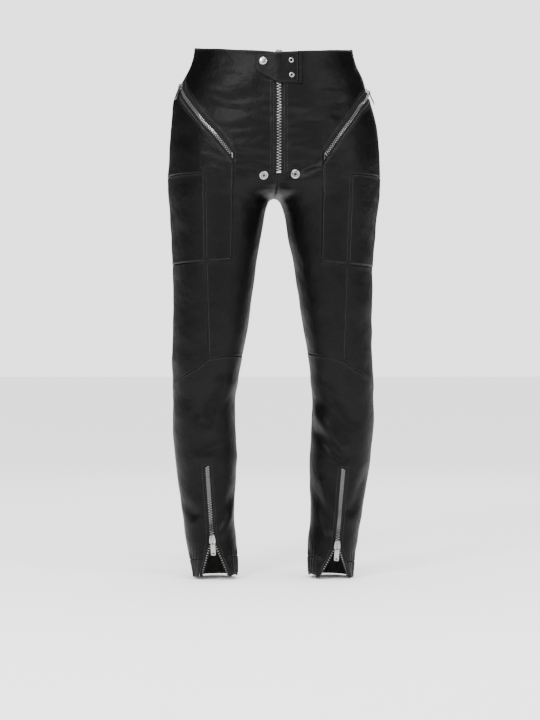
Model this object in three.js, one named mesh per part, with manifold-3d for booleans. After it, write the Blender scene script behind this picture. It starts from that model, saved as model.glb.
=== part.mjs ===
// Leather trousers, standing open as they are worn.
// Millimetres. +Z is up, the front faces -Y, +X is the left leg.
// The origin is the middle of the waist opening.
import * as THREE from 'three';
import ManifoldModule from 'manifold-3d';

const wasm = await ManifoldModule();
wasm.setup();
const { Manifold, CrossSection } = wasm;

// Leather and gaps
const WALL = 1.6;
const SEAM_GAP = 0.3;
const PATCH_RAISE = 1.0;
const CUFF_RAISE = 0.2;
const GATHER_PITCH = 9;
const GATHER_DEPTH = 1.0;

// Zips: depths are measured from the leather's outer surface
const TAPE_FOOT = -1.5;
const TAPE_TOP = -0.5;
const CHAIN_FOOT = -0.2;
const CHAIN_TOP = 0.9;
const SIDE_CHAIN_WIDTH = 6.5;
const MAIN_CHAIN_WIDTH = 8.6;
const LEAF_TAPE = 7.0;
const LEAF_CHAIN = 3.7;
const STOP_LENGTH = 2.6;

// Zip sliders and their pulls
const SLIDER_LENGTH = 16;
const SLIDER_WIDE = 12.5;
const SLIDER_NARROW = 9;
const SLIDER_FOOT = 1.2;
const SLIDER_TOP = 3.4;
const BRIDGE_WIDTH = 2.4;
const BRIDGE_LENGTH = 9;
const BRIDGE_TOP = 7.7;
const BRIDGE_WALL = 1.4;
const PIVOT_HEIGHT = 5.0;
const PIN = 1.7;
const PULL_LINK = 11;
const PULL_LINK_WIDTH = 7.4;
const PULL_LENGTH = 20;
const PULL_WIDTH = 9.4;
const PULL_HOLE = [5.2, 3];
const SIDE_SLIDER_TURN = { right: 0.6, left: 0.6 };
const SIDE_PULL_LEAN = { right: 0.03, left: 0.12 };

// Front tab, seen from the front: x and height of its corners
const TAB_THICK = 2.2;
const TAB_CLEAR = 1.0;
const TAB_LIFT = 3.2;
const TAB_CORNERS = { left: -42, right: 40.4, point: -1, leftTop: -25, rightTop: -20, leftFoot: -57, foot: -81 };
const TAB_EDGE = { left: 41.6, right: 48.4, top: -18, foot: -82 };
const EYELETS = [[26.2, -37], [27.2, -65.7]];
const TAB_SNAP = [-28, -38.4];
const LOWER_SNAPS = { right: [-26.4, -260], left: [35.2, -258] };

// The outline of the two legs at each height. Distances from the centre plane,
// then the foremost and rearmost depth, the squareness of the section and how softly the legs join.
// height, right outer, right inner, left inner, left outer, front, back, squareness, join
const SECTIONS = [
  [40, 158, -156, -158, 156, -106, 104, 2.05, 1],
  [0, 158, -156, -158, 156, -108, 106, 2.05, 1],
  [-32, 166, -160, -160, 164, -110, 109, 2.1, 1],
  [-56, 179, -163, -164, 175, -112, 113, 2.15, 1],
  [-80, 192, -163, -164, 183, -113, 118, 2.2, 2],
  [-104, 201, -160, -160, 191, -114, 123, 2.25, 3],
  [-128, 204, -150, -150, 198, -115, 129, 2.3, 4],
  [-176, 207, -122, -122, 208, -116, 138, 2.4, 6],
  [-224, 210, -80, -80, 211, -114, 142, 2.45, 8],
  [-262, 211, -50, -50, 212, -111, 138, 2.4, 10],
  [-284, 211, -18, -18, 211, -108, 131, 2.35, 10],
  [-297, 210, 7, 7, 210, -105, 124, 2.3, 10],
  [-310, 209, 14, 15, 208, -104, 117, 2.25, 9],
  [-344, 207, 22, 23, 204, -102, 102, 2.2, 6],
  [-384, 204, 29, 29, 199, -101, 90, 2.15, 3],
  [-424, 203, 36, 37, 196, -100, 82, 2.1, 1],
  [-504, 202, 47, 50, 195, -96, 72, 2.1, 1],
  [-584, 203, 59, 62, 194, -88, 64, 2.1, 1],
  [-624, 205, 66, 68, 196, -82, 60, 2.1, 1],
  [-664, 203, 73, 73, 197, -76, 60, 2.1, 1],
  [-704, 202, 79, 77, 199, -70, 64, 2.1, 1],
  [-744, 203, 78, 75, 200, -66, 68, 2.1, 1],
  [-784, 201, 76, 73, 197, -62, 70, 2.1, 1],
  [-824, 197, 75, 71, 192, -58, 67, 2.1, 1],
  [-864, 192, 77, 72, 186, -55, 62, 2.1, 1],
  [-904, 187, 80, 73, 179, -53, 57, 2.1, 1],
  [-944, 181, 80, 72, 173, -52, 52, 2.1, 1],
  [-984, 175, 77, 67, 167, -52, 51, 2.1, 1],
  [-1024, 167, 73, 67, 160, -54, 52, 2.1, 1],
  [-1058, 160, 74, 69, 156, -56, 53, 2.1, 1],
  [-1090, 158, 74, 70, 154, -57, 54, 2.1, 1],
];

// The largest folds, as lines seen from the front (-1) or the back (+1).
// face, x and height where it starts, x and height where it ends, half width, depth (+ ridge, - trough)
const FOLDS = [
  [-1, -51, -79, -143, -87, 13, 3],
  [-1, -86, -130, -135, -130, 13, -3],
  [-1, -34, -200, -86, -200, 14, 3],
  [-1, 26, -124, 122, -118, 13, -4],
  [-1, 25, -163, 102, -155, 13, 3],
  [-1, 28, -206, 80, -200, 12, 3],
  [-1, 8, -296, 87, -260, 14, 5],
  [-1, 50, -246, 90, -228, 12, -4],
  [-1, -10, -286, -79, -298, 15, -5],
  [-1, -46, -328, -44, -373, 14, -4],
  [-1, -112, -644, -148, -726, 14, -6],
  [-1, -91, -669, -126, -757, 13, 5],
  [-1, -150, -811, -128, -811, 9, 3],
  [-1, -183, -905, -162, -923, 11, -5],
  [-1, -79, -881, -112, -940, 12, -6],
  [-1, -75, -903, -103, -962, 10, 4],
  [-1, 103, -659, 152, -740, 13, -5],
  [-1, 72, -722, 129, -789, 12, 7],
  [-1, 72, -752, 129, -811, 10, -6],
  [-1, 70, -860, 108, -952, 11, -6],
  [-1, 90, -862, 118, -934, 10, 5],
  [-1, 184, -846, 151, -917, 12, -5],
  [1, -30, -335, -150, -300, 20, -6],
  [1, 30, -330, 150, -305, 20, -6],
  [1, -85, -575, -190, -595, 15, -6],
  [1, -80, -646, -195, -640, 17, -5],
  [1, -88, -705, -190, -690, 14, -5],
  [1, 80, -580, 190, -600, 15, -6],
  [1, 82, -652, 190, -646, 17, -5],
  [1, 86, -700, 190, -712, 14, -5],
  [1, -90, -900, -180, -915, 12, -4],
  [1, 88, -905, 172, -890, 12, -4],
];

// Seams that run round each leg: their heights at six places, and the rows of mesh below each one.
// name, centre front or inseam, pocket seam, side line, outer line, side, centre back or inseam, rows
const ROUND_SEAMS = {
  right: [
    ['waist', -20, -14, -8, -5, 4, 8, 9],
    ['slot_top', -206, -213, -144, -109, -62, -105, 1],
    ['slot_foot', -228, -239, -170, -134, -85, -125, 6],
    ['pocket_top', -256, -256, -256, -256, -256, -225, 6],
    ['crotch', -297, -322, -329, -330, -330, -297, 6],
    ['pocket_foot', -424, -425, -428, -429, -432, -424, 10],
    ['knee', -611, -613, -618, -635, -684, -611, 9],
    ['ankle_slot', -828, -828, -828, -828, -828, -828, 6],
    ['slider', -976, -976, -976, -976, -976, -976, 2],
    ['cuff', -1010, -1009, -1010, -1012, -1019, -1012, 2],
    ['hem', -1045, -1046, -1048, -1049, -1053, -1050, 0],
  ],
  left: [
    ['waist', -20, -14, -8, -5, 4, 8, 9],
    ['slot_top', -206, -215, -136, -104, -72, -105, 1],
    ['slot_foot', -228, -240, -162, -129, -94, -125, 6],
    ['pocket_top', -256, -256, -256, -256, -256, -225, 6],
    ['crotch', -297, -324, -331, -332, -332, -297, 6],
    ['pocket_foot', -427, -429, -433, -434, -436, -427, 10],
    ['knee', -605, -614, -624, -639, -682, -605, 9],
    ['ankle_slot', -834, -834, -834, -834, -834, -834, 6],
    ['slider', -988, -988, -988, -988, -988, -988, 2],
    ['cuff', -1012, -1010, -1016, -1018, -1024, -1014, 2],
    ['hem', -1045, -1047, -1052, -1053, -1054, -1050, 0],
  ],
};

// Seams that run down each leg, as a distance from the centre plane at each height.
// height, distance
const DOWN_SEAMS = {
  right: {
    fly: [[20, 6.2], [-256, 6.2]],
    pocket: [[20, 82], [-212, 84.5], [-256, 86], [-425, 88.2], [-613, 104], [-828, 103], [-1060, 84]],
    line: [[20, 126], [-138, 143], [-256, 141.6], [-428, 139.5], [-618, 133.5], [-828, 128.6], [-976, 118],
      [-1048, 86]],
    outer: [[20, 141], [-138, 170], [-256, 166], [-428, 160], [-618, 155], [-828, 143], [-976, 132.4],
      [-1048, 152]],
  },
  left: {
    fly: [[20, 12.2], [-256, 12.2]],
    pocket: [[20, 86], [-212, 89.4], [-256, 89.4], [-429, 87.2], [-614, 104], [-834, 101], [-1060, 79]],
    line: [[20, 128], [-136, 146], [-256, 145.3], [-433, 140], [-624, 135.6], [-834, 126.6], [-988, 114.2],
      [-1052, 80]],
    outer: [[20, 143], [-136, 170], [-256, 168], [-433, 160], [-624, 155], [-834, 141], [-988, 128.6],
      [-1052, 151]],
  },
};
const DOWN_CELLS = [1, 6, 3, 1, 3, 9];

// The side seam, as an angle round the leg at each height: 0 faces out to the side, below 0 to the front
const SIDE_SEAM = {
  right: [[20, 0.09], [-62, -0.15], [-130, -0.15], [-256, 0.09]],
  left: [[20, 0.09], [-72, -0.03], [-130, -0.03], [-256, 0.09]],
};

// Colours
const LEATHER = { color: 0x14130f, roughness: 0.5, metalness: 0 };
const TAPE_BLACK = { color: 0x0b0b0c, roughness: 0.9, metalness: 0 };
const NICKEL = { color: 0xb9b9b6, roughness: 0.28, metalness: 1 };

const trousers = new THREE.Group();
trousers.name = 'leather_trousers';

// A number from a table of [place, value], straight between the rows and held at the ends
function lookUp(table, place) {
  const falling = table[0][0] > table[table.length - 1][0];
  const key = falling ? -place : place;
  for (let i = 1; i < table.length; i += 1) {
    const a = falling ? -table[i - 1][0] : table[i - 1][0];
    const b = falling ? -table[i][0] : table[i][0];
    if (key <= b || i === table.length - 1) {
      const t = Math.min(1, Math.max(0, (key - a) / (b - a)));
      return table[i - 1][1] + t * (table[i][1] - table[i - 1][1]);
    }
  }
  return table[0][1];
}

// All columns of SECTIONS at one height, by a smooth cubic through the rows
function sectionAt(height) {
  const rows = SECTIONS;
  const last = rows.length - 1;
  const z = Math.min(rows[0][0], Math.max(rows[last][0], height));
  let i = 0;
  while (i < last - 1 && rows[i + 1][0] > z) i += 1;
  const step = rows[i + 1][0] - rows[i][0];
  const s = (z - rows[i][0]) / step;
  const slope = (r, c) => {
    const a = Math.max(0, r - 1);
    const b = Math.min(last, r + 1);
    return (rows[b][c] - rows[a][c]) / (rows[b][0] - rows[a][0]);
  };
  return rows[i].map((value, c) => (1 + 2 * s) * (1 - s) ** 2 * value
    + s * (1 - s) ** 2 * slope(i, c) * step
    + s * s * (3 - 2 * s) * rows[i + 1][c]
    + s * s * (s - 1) * slope(i + 1, c) * step);
}

// Middle and half sizes of one leg's section
function legShape(side, section) {
  const outer = side > 0 ? section[4] : section[1];
  const inner = side > 0 ? section[3] : section[2];
  return {
    cx: side * (outer + inner) / 2,
    a: (outer - inner) / 2,
    cy: (section[5] + section[6]) / 2,
    b: (section[6] - section[5]) / 2,
  };
}

// Distance-like value, below zero inside either leg, with the two legs joined softly
function inside(x, y, section) {
  const one = (side) => {
    const { cx, a, cy, b } = legShape(side, section);
    const power = section[7];
    const r = (Math.abs((x - cx) / a) ** power + Math.abs((y - cy) / b) ** power) ** (1 / power);
    return (r - 1) * Math.min(a, b);
  };
  const left = one(1);
  const right = one(-1);
  return Math.min(left, right) - section[8] * Math.log1p(Math.exp(-Math.abs(left - right) / section[8]));
}

// Depth that the folds add at a point
function foldShift(x, y, z, section) {
  const { cy, b } = legShape(x < 0 ? -1 : 1, section);
  let shift = 0;
  for (const [face, x0, z0, x1, z1, width, depth] of FOLDS) {
    const facing = Math.min(1, Math.max(0, face * (y - cy) / b / 0.45));
    if (facing > 0) {
      const dx = x1 - x0;
      const dz = z1 - z0;
      const t = Math.min(1, Math.max(0, ((x - x0) * dx + (z - z0) * dz) / (dx * dx + dz * dz)));
      const far = Math.hypot(x - x0 - t * dx, z - z0 - t * dz) / width;
      shift += face * depth * facing * facing * (3 - 2 * facing) * Math.exp(-far * far);
    }
  }
  return shift;
}

// The outer surface with its folds: point and outward normal at an angle round one leg.
// Angle 0 faces out to the side, -90 degrees to the front, 90 degrees to the back.
function bare(side, angle, z) {
  const section = sectionAt(z);
  const { cx, cy } = legShape(side, section);
  const dx = side * Math.cos(angle);
  const dy = Math.sin(angle);
  const centre = cx * dx < 0 ? -cx / dx : Infinity;
  let near = 0;
  let far = 0;
  for (let n = 0; n < 90; n += 1) {
    const value = inside(cx + far * dx, cy + far * dy, section);
    if (value >= 0) break;
    near = far;
    far += Math.max(1.5, -0.8 * value);
    if (near < centre && far > centre) far = centre;
  }
  for (let n = 0; n < 24; n += 1) {
    const middle = (near + far) / 2;
    if (inside(cx + middle * dx, cy + middle * dy, section) < 0) near = middle;
    else far = middle;
  }
  return new THREE.Vector3(cx + near * dx, cy + near * dy, z);
}

function skin(side, angle, z) {
  const point = bare(side, angle, z);
  const value = (x, y, height) => {
    const section = sectionAt(height);
    return inside(x, y - foldShift(x, y, height, section), section);
  };
  point.y += foldShift(point.x, point.y, z, sectionAt(z));
  const h = 0.5;
  const normal = new THREE.Vector3(
    value(point.x + h, point.y, z) - value(point.x - h, point.y, z),
    value(point.x, point.y + h, z) - value(point.x, point.y - h, z),
    value(point.x, point.y, z + h) - value(point.x, point.y, z - h),
  ).normalize();
  return { point, normal };
}

// The angle at which the surface lies a given distance out from the centre plane
function angleAt(side, out, z, face) {
  let low = 0;
  let high = Math.PI;
  for (let n = 0; n < 30; n += 1) {
    const middle = (low + high) / 2;
    if (side * bare(side, face * middle, z).x > out) low = middle;
    else high = middle;
  }
  return face * low;
}

// Height of the crotch point, where the join of the legs comes to an end
function findCrotch() {
  let low = -330;
  let high = -250;
  for (let n = 0; n < 40; n += 1) {
    const middle = (low + high) / 2;
    const section = sectionAt(middle);
    if (inside(0, (section[5] + section[6]) / 2, section) < 0) high = middle;
    else low = middle;
  }
  return (low + high) / 2;
}

const CROTCH = findCrotch();

// Heights evenly spaced along the centre seam from one height down to the crotch
function seamHeights(from, face, count) {
  const samples = [];
  let length = 0;
  for (let n = 0; n <= 160; n += 1) {
    const z = CROTCH + 0.02 + (from - CROTCH) * (1 - n / 160) ** 2;
    const point = bare(1, angleAt(1, 0, z, face), z);
    if (n > 0) length += Math.hypot(point.y - samples[n - 1].y, point.z - samples[n - 1].z);
    samples.push({ y: point.y, z: point.z, length });
  }
  return Array.from({ length: count + 1 }, (_, k) => {
    const target = length * k / count;
    const n = samples.findIndex((sample) => sample.length >= target - 1e-9);
    return k === count ? CROTCH : samples[Math.max(0, n)].z;
  });
}

// One leg's whole surface as rows (waist to hem) and columns (centre front round to centre back).
// Every seam is a row or a column, so that neighbouring pieces share their points.
function surfaceGrid(sideName) {
  const side = sideName === 'left' ? 1 : -1;
  const seams = ROUND_SEAMS[sideName];
  const down = DOWN_SEAMS[sideName];
  const rowOf = {};
  const rows = [];
  seams.forEach((seam, k) => {
    rowOf[seam[0]] = rows.length;
    const count = seam[7];
    const next = seams[k + 1];
    const front = seam[0] === 'pocket_top' ? seamHeights(seam[1], -1, count) : null;
    const back = seam[0] === 'pocket_top' ? seamHeights(seam[6], 1, count) : null;
    for (let n = 0; n < Math.max(count, 1); n += 1) {
      const t = count ? n / count : 0;
      const heights = [1, 2, 3, 4, 5, 6].map((c) => (next ? seam[c] + t * (next[c] - seam[c]) : seam[c]));
      if (seam[0] === 'crotch' && n === 0) {
        heights[0] = CROTCH + 1e-5;
        heights[5] = CROTCH + 1e-5;
      }
      if (front) {
        heights[0] = front[n];
        heights[5] = back[n];
      }
      rows.push({ heights, depth: k, step: n });
    }
  });

  const marks = [0];
  DOWN_CELLS.forEach((cells) => marks.push(marks[marks.length - 1] + cells));
  const grid = rows.map(({ heights, depth, step }) => {
    const [zFront, zPocket, zLine, zOuter, zSide, zBack] = heights;
    const upper = depth < 4 || (depth === 4 && step === 0);
    const stop = (out, z, face = -1) => ({ angle: angleAt(side, out, z, face), z });
    const first = upper ? stop(0, zFront) : { angle: -Math.PI, z: zFront };
    const last = upper ? stop(0, zBack, 1) : { angle: Math.PI, z: zBack };
    const pocket = stop(lookUp(down.pocket, zPocket), zPocket);
    const line = stop(lookUp(down.line, zLine), zLine);
    const outer = stop(lookUp(down.outer, zOuter), zOuter);
    const edge = { angle: lookUp(SIDE_SEAM[sideName], zSide), z: zSide };
    const cells = [DOWN_CELLS[0] + DOWN_CELLS[1], DOWN_CELLS[2], DOWN_CELLS[3], DOWN_CELLS[4], DOWN_CELLS[5]];
    const stops = [first, pocket, line, outer, edge, last];
    const places = [];
    for (let k = 0; k < cells.length; k += 1) {
      const a = stops[k];
      const b = stops[k + 1];
      const samples = [];
      let length = 0;
      for (let n = 0; n <= 28; n += 1) {
        const t = n / 28;
        const angle = a.angle + t * (b.angle - a.angle);
        const z = a.z + t * (b.z - a.z);
        const point = bare(side, angle, z);
        if (n > 0) length += point.distanceTo(samples[n - 1].point);
        samples.push({ angle, z, length, point });
      }
      const shares = Array.from({ length: cells[k] + 1 }, (_, n) => n / cells[k]);
      if (k === 0) {
        const even = 1 / cells[0];
        const flyShare = lookUp(down.fly, zFront) / length;
        const mix = Math.min(1, Math.max(0, (depth - 3) * 6 + step) / 4);
        shares[1] = depth < 3 ? flyShare : flyShare + (even - flyShare) * mix;
        for (let n = 2; n < cells[0]; n += 1) {
          shares[n] = shares[1] + (1 - shares[1]) * (n - 1) / (cells[0] - 1);
        }
      }
      shares.forEach((share, n) => {
        if (n === 0 && k > 0) return;
        const target = share * length;
        let m = 1;
        while (m < 28 && samples[m].length < target) m += 1;
        const p = samples[m - 1];
        const q = samples[m];
        const t = q.length > p.length ? (target - p.length) / (q.length - p.length) : 0;
        places.push({ angle: p.angle + t * (q.angle - p.angle), z: p.z + t * (q.z - p.z) });
      });
    }
    const spots = places.map(({ angle, z }) => skin(side, angle, z));
    if (depth === 4 && step === 0) {
      [spots[0], spots[spots.length - 1]].forEach((spot) => {
        spot.point.set(0, (sectionAt(CROTCH)[5] + sectionAt(CROTCH)[6]) / 2, CROTCH);
        spot.normal.set(0, 0, -1);
      });
    }
    return spots;
  });
  return { side, sideName, grid, rowOf, marks };
}

// A closed solid from points that each have an outer and an inner place
function addSolid(name, finish, outer, inner, faces) {
  const count = outer.length;
  const positions = [];
  outer.forEach((p) => positions.push(p.x, p.y, p.z));
  inner.forEach((p) => positions.push(p.x, p.y, p.z));
  const index = [];
  const edges = new Map();
  faces.forEach(([a, b, c, d]) => {
    index.push(a, b, c, a, c, d);
    index.push(count + a, count + c, count + b, count + a, count + d, count + c);
    [[a, b], [b, c], [c, d], [d, a]].forEach(([u, v]) => edges.set(`${u},${v}`, [u, v]));
  });
  edges.forEach(([u, v]) => {
    if (edges.has(`${v},${u}`)) return;
    index.push(v, u, count + u, v, count + u, count + v);
  });
  const geometry = new THREE.BufferGeometry();
  geometry.setAttribute('position', new THREE.Float32BufferAttribute(positions, 3));
  geometry.setIndex(index);
  return addMesh(name, finish, geometry);
}

function addMesh(name, finish, geometry) {
  const mesh = new THREE.Mesh(geometry, new THREE.MeshStandardMaterial(finish));
  mesh.name = name;
  trousers.add(mesh);
  return mesh;
}

// One cut piece: the cells that belong to it, drawn in from the seams by half the gap.
// Its faces lie at two offsets from the surface.
function addPiece(name, finish, surface, belongs, high = 0, low = -WALL) {
  const { side, grid } = surface;
  const ids = new Map();
  const spots = [];
  const faces = [];
  const idOf = (i, j) => {
    const key = `${i},${j}`;
    if (!ids.has(key)) {
      ids.set(key, spots.length);
      spots.push({ ...grid[i][j], pull: [] });
    }
    return ids.get(key);
  };
  for (let i = 0; i < grid.length - 1; i += 1) {
    for (let j = 0; j < grid[0].length - 1; j += 1) {
      if (belongs(i, j)) {
        const face = [idOf(i, j), idOf(i + 1, j), idOf(i + 1, j + 1), idOf(i, j + 1)];
        faces.push(side > 0 ? face : face.reverse());
      }
    }
  }
  const edges = new Set();
  faces.forEach((f) => f.forEach((u, n) => edges.add(`${u},${f[(n + 1) % 4]}`)));
  edges.forEach((key) => {
    const [u, v] = key.split(',').map(Number);
    if (edges.has(`${v},${u}`)) return;
    const along = spots[v].point.clone().sub(spots[u].point);
    const normal = spots[u].normal.clone().add(spots[v].normal);
    const inward = normal.cross(along).normalize();
    spots[u].pull.push(inward);
    spots[v].pull.push(inward);
  });
  const outer = [];
  const inner = [];
  spots.forEach(({ point, normal, pull, raise = 0 }) => {
    const place = point.clone();
    if (pull.length >= 2) {
      const sum = pull[0].clone().add(pull[1]);
      place.addScaledVector(sum, SEAM_GAP / 2 / Math.max(0.3, 1 + pull[0].dot(pull[1])));
    }
    outer.push(place.clone().addScaledVector(normal, high + raise));
    inner.push(place.clone().addScaledVector(normal, low));
  });
  addSolid(name, finish, outer, inner, faces);
}

// A strip from lines of points (each a list of {point, normal}), between two offsets along the normals
function addStrip(name, finish, lines, low, high, side = 1) {
  const across = lines[0].length;
  const spots = lines.flat();
  const outer = spots.map(({ point, normal }) => point.clone().addScaledVector(normal, high));
  const inner = spots.map(({ point, normal }) => point.clone().addScaledVector(normal, low));
  const faces = [];
  for (let i = 0; i < lines.length - 1; i += 1) {
    for (let j = 0; j < across - 1; j += 1) {
      const a = i * across + j;
      const face = [a, a + across, a + across + 1, a + 1];
      faces.push(side > 0 ? face : face.reverse());
    }
  }
  addSolid(name, finish, outer, inner, faces);
}

// A spot part of the way from one spot to another
function between(a, b, t) {
  return {
    point: a.point.clone().lerp(b.point, t),
    normal: a.normal.clone().lerp(b.normal, t).normalize(),
  };
}

// A spot a given distance from one spot towards another, and no further than it
function towards(a, b, distance) {
  return between(a, b, Math.min(1, distance / a.point.distanceTo(b.point)));
}

// The rows of a cuff between two columns, each cell cut into whole gathers: a crest half way
// along each gather and a trough at both its ends
function gathered(surface, from, to) {
  const { side, grid, rowOf } = surface;
  const lines = grid.slice(rowOf.cuff, rowOf.hem + 1);
  const refined = lines.map((line) => {
    const spots = [line[from]];
    for (let j = from; j < to; j += 1) {
      const width = lines[0][j].point.distanceTo(lines[0][j + 1].point);
      const parts = 2 * Math.max(1, Math.round(width / GATHER_PITCH));
      for (let n = 1; n <= parts; n += 1) {
        spots.push({ ...between(line[j], line[j + 1], n / parts), raise: n % 2 ? GATHER_DEPTH : 0 });
      }
    }
    return spots;
  });
  return { side, grid: refined };
}

const surfaces = [surfaceGrid('right'), surfaceGrid('left')];

// Leather pieces of each leg
surfaces.forEach((surface) => {
  const { sideName, rowOf, marks } = surface;
  const [, fly, pocket, line, outer, edge, end] = marks;
  const rows = (i, from, to) => i >= rowOf[from] && i < rowOf[to];

  addPiece(`front_panel_${sideName}`, LEATHER, surface, (i, j) => {
    if (rows(i, 'waist', 'slot_top')) return j >= fly && j < edge;
    if (rows(i, 'slot_top', 'pocket_top')) return j >= fly && j < pocket;
    if (rows(i, 'pocket_top', 'pocket_foot')) return j < pocket;
    return rows(i, 'pocket_foot', 'knee') && j < line;
  });
  addPiece(`hip_pocket_${sideName}`, LEATHER, surface, (i, j) => {
    if (rows(i, 'slot_foot', 'pocket_top')) return j >= pocket && j < edge;
    return rows(i, 'pocket_top', 'pocket_foot') && j >= pocket && j < line;
  }, PATCH_RAISE);
  addPiece(`side_pocket_${sideName}`, LEATHER, surface, (i, j) => (
    rows(i, 'pocket_top', 'pocket_foot') && j >= line && j < edge
  ), PATCH_RAISE);
  addPiece(`side_panel_${sideName}`, LEATHER, surface, (i, j) => (
    rows(i, 'pocket_foot', 'knee') && j >= line && j < edge
  ));
  addPiece(`seat_panel_${sideName}`, LEATHER, surface, (i, j) => rows(i, 'waist', 'pocket_foot') && j >= edge);
  addPiece(`thigh_panel_${sideName}`, LEATHER, surface, (i, j) => rows(i, 'pocket_foot', 'knee') && j >= edge);
  addPiece(`shin_panel_${sideName}`, LEATHER, surface, (i, j) => {
    if (rows(i, 'knee', 'ankle_slot')) return j < edge;
    return rows(i, 'ankle_slot', 'cuff') && j < edge && (j < line || j >= outer);
  });
  addPiece(`calf_panel_${sideName}`, LEATHER, surface, (i, j) => rows(i, 'knee', 'cuff') && j >= edge);
  addPiece(`cuff_inner_${sideName}`, LEATHER, gathered(surface, 0, line), () => true, CUFF_RAISE);
  addPiece(`cuff_outer_${sideName}`, LEATHER, gathered(surface, outer, end), () => true, CUFF_RAISE);
});

// A tape and its chain across a slot: `edges` lists the slot's two sides at each place along it
function addClosedZip(name, edges, chainWidth, side, startGap, endGap) {
  const tape = edges.map(([a, b], n) => {
    const [c, d] = edges[n + 1] || edges[n - 1];
    const along = c.point.clone().add(d.point).sub(a.point).sub(b.point).normalize();
    const wide = new THREE.Vector3().crossVectors(a.point.clone().sub(b.point), along).length();
    const half = chainWidth / 2 / wide;
    return [SEAM_GAP / wide, 0.5 - half, 0.5 + half, 1 - SEAM_GAP / wide].map((t) => between(a, b, t));
  });
  const last = tape.length - 1;
  const chain = tape.map((line) => line.slice(1, 3));
  const cut = (line, next, distance) => line.map((spot, n) => towards(spot, next[n], distance));
  const stop = [0.6, 0.6 + STOP_LENGTH].map((distance) => cut(chain[0], chain[1], startGap + distance));
  chain[0] = cut(chain[0], chain[1], startGap + 0.9 + STOP_LENGTH);
  chain[last] = cut(chain[last], chain[last - 1], endGap);
  tape[0] = cut(tape[0], tape[1], SEAM_GAP);
  tape[last] = cut(tape[last], tape[last - 1], SEAM_GAP);
  addStrip(`${name}_tape`, TAPE_BLACK, tape, TAPE_FOOT, TAPE_TOP, side);
  addStrip(`${name}_chain`, NICKEL, chain, CHAIN_FOOT, CHAIN_TOP, side);
  addStrip(`${name}_stop`, NICKEL, stop, CHAIN_FOOT, CHAIN_TOP + 0.7, side);
}

// Slanting pocket zips, from the lower stop up to the slider at the side
surfaces.forEach((surface) => {
  const { side, sideName, grid, rowOf, marks } = surface;
  const edges = [];
  for (let j = marks[2]; j <= marks[5]; j += 1) {
    edges.push([grid[rowOf.slot_top][j], grid[rowOf.slot_foot][j]]);
  }
  surface.sideEdges = edges;
  addClosedZip(`side_zip_${sideName}`, edges, SIDE_CHAIN_WIDTH, -side, 3, SLIDER_LENGTH - 3);
});

// Main zip at the centre front, from its bottom stop up to the waist
const [rightSurface, leftSurface] = surfaces;
{
  const edges = [];
  for (let i = rightSurface.rowOf.pocket_top; i >= 0; i -= 1) {
    edges.push([leftSurface.grid[i][leftSurface.marks[1]], rightSurface.grid[i][rightSurface.marks[1]]]);
  }
  addClosedZip('main_zip', edges, MAIN_CHAIN_WIDTH, 1, 0.4, 0.4);
}

// Ankle zips: two tapes and two rows of teeth, closed above the slider and apart below it
surfaces.forEach((surface) => {
  const { side, sideName, grid, rowOf, marks } = surface;
  const [, , , line, outer] = marks;
  ['inner', 'outer'].forEach((half) => {
    const edge = half === 'inner' ? line : outer;
    const facing = half === 'inner' ? outer : line;
    const tape = [];
    for (let i = rowOf.ankle_slot; i <= rowOf.hem; i += 1) {
      const a = grid[i][edge];
      const b = grid[i][facing];
      const middle = a.point.distanceTo(b.point) / 2 - SEAM_GAP / 2;
      const width = i <= rowOf.slider ? middle : LEAF_TAPE;
      tape.push([SEAM_GAP, width - LEAF_CHAIN, width].map((distance) => towards(a, b, distance)));
    }
    tape[0] = tape[0].map((spot, n) => towards(spot, tape[1][n], SEAM_GAP));
    const chain = tape.map((line3) => line3.slice(1));
    chain[0] = chain[0].map((spot, n) => towards(spot, chain[1][n], 2));
    const turn = half === 'inner' ? side : -side;
    addStrip(`ankle_zip_tape_${half}_${sideName}`, TAPE_BLACK, tape, TAPE_FOOT, TAPE_TOP, turn);
    addStrip(`ankle_zip_chain_${half}_${sideName}`, NICKEL, chain, CHAIN_FOOT, CHAIN_TOP, turn);
  });
});

// The spot on the faceted front at a place seen from the front
function onFront(x, z) {
  const ray = new THREE.Ray(new THREE.Vector3(x, -400, z), new THREE.Vector3(0, 1, 0));
  const hit = new THREE.Vector3();
  for (const { grid } of surfaces) {
    for (let i = 0; i < grid.length - 1; i += 1) {
      for (let j = 0; j < grid[0].length / 2 + 1; j += 1) {
        const [a, b, c, d] = [grid[i][j], grid[i + 1][j], grid[i + 1][j + 1], grid[i][j + 1]];
        for (const [p, q, r] of [[a, b, c], [a, c, d]]) {
          if (ray.intersectTriangle(p.point, q.point, r.point, false, hit)) {
            const normal = new THREE.Vector3();
            const weights = THREE.Triangle.getBarycoord(hit, p.point, q.point, r.point, new THREE.Vector3());
            [p, q, r].forEach((spot, n) => normal.addScaledVector(spot.normal, weights.getComponent(n)));
            return { point: hit.clone(), normal: normal.normalize() };
          }
        }
      }
    }
  }
  throw new Error(`no surface at ${x}, ${z}`);
}

function toGeometry(solid) {
  const { vertProperties, triVerts } = solid.getMesh();
  const geometry = new THREE.BufferGeometry();
  geometry.setAttribute('position', new THREE.Float32BufferAttribute(vertProperties, 3));
  geometry.setIndex(Array.from(triVerts));
  return geometry;
}

// Puts a solid on the surface: its own x across, y along and z outward
function placeOn(mesh, spot, along, lift = 0) {
  const z = spot.normal.clone();
  const x = new THREE.Vector3().crossVectors(along, z).normalize();
  const y = new THREE.Vector3().crossVectors(z, x);
  const matrix = new THREE.Matrix4().makeBasis(x, y, z);
  matrix.setPosition(spot.point.clone().addScaledVector(z, lift));
  mesh.applyMatrix4(matrix);
  return { x, y, z, origin: new THREE.Vector3().setFromMatrixPosition(matrix) };
}

const UP = new THREE.Vector3(0, 0, 1);

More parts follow.
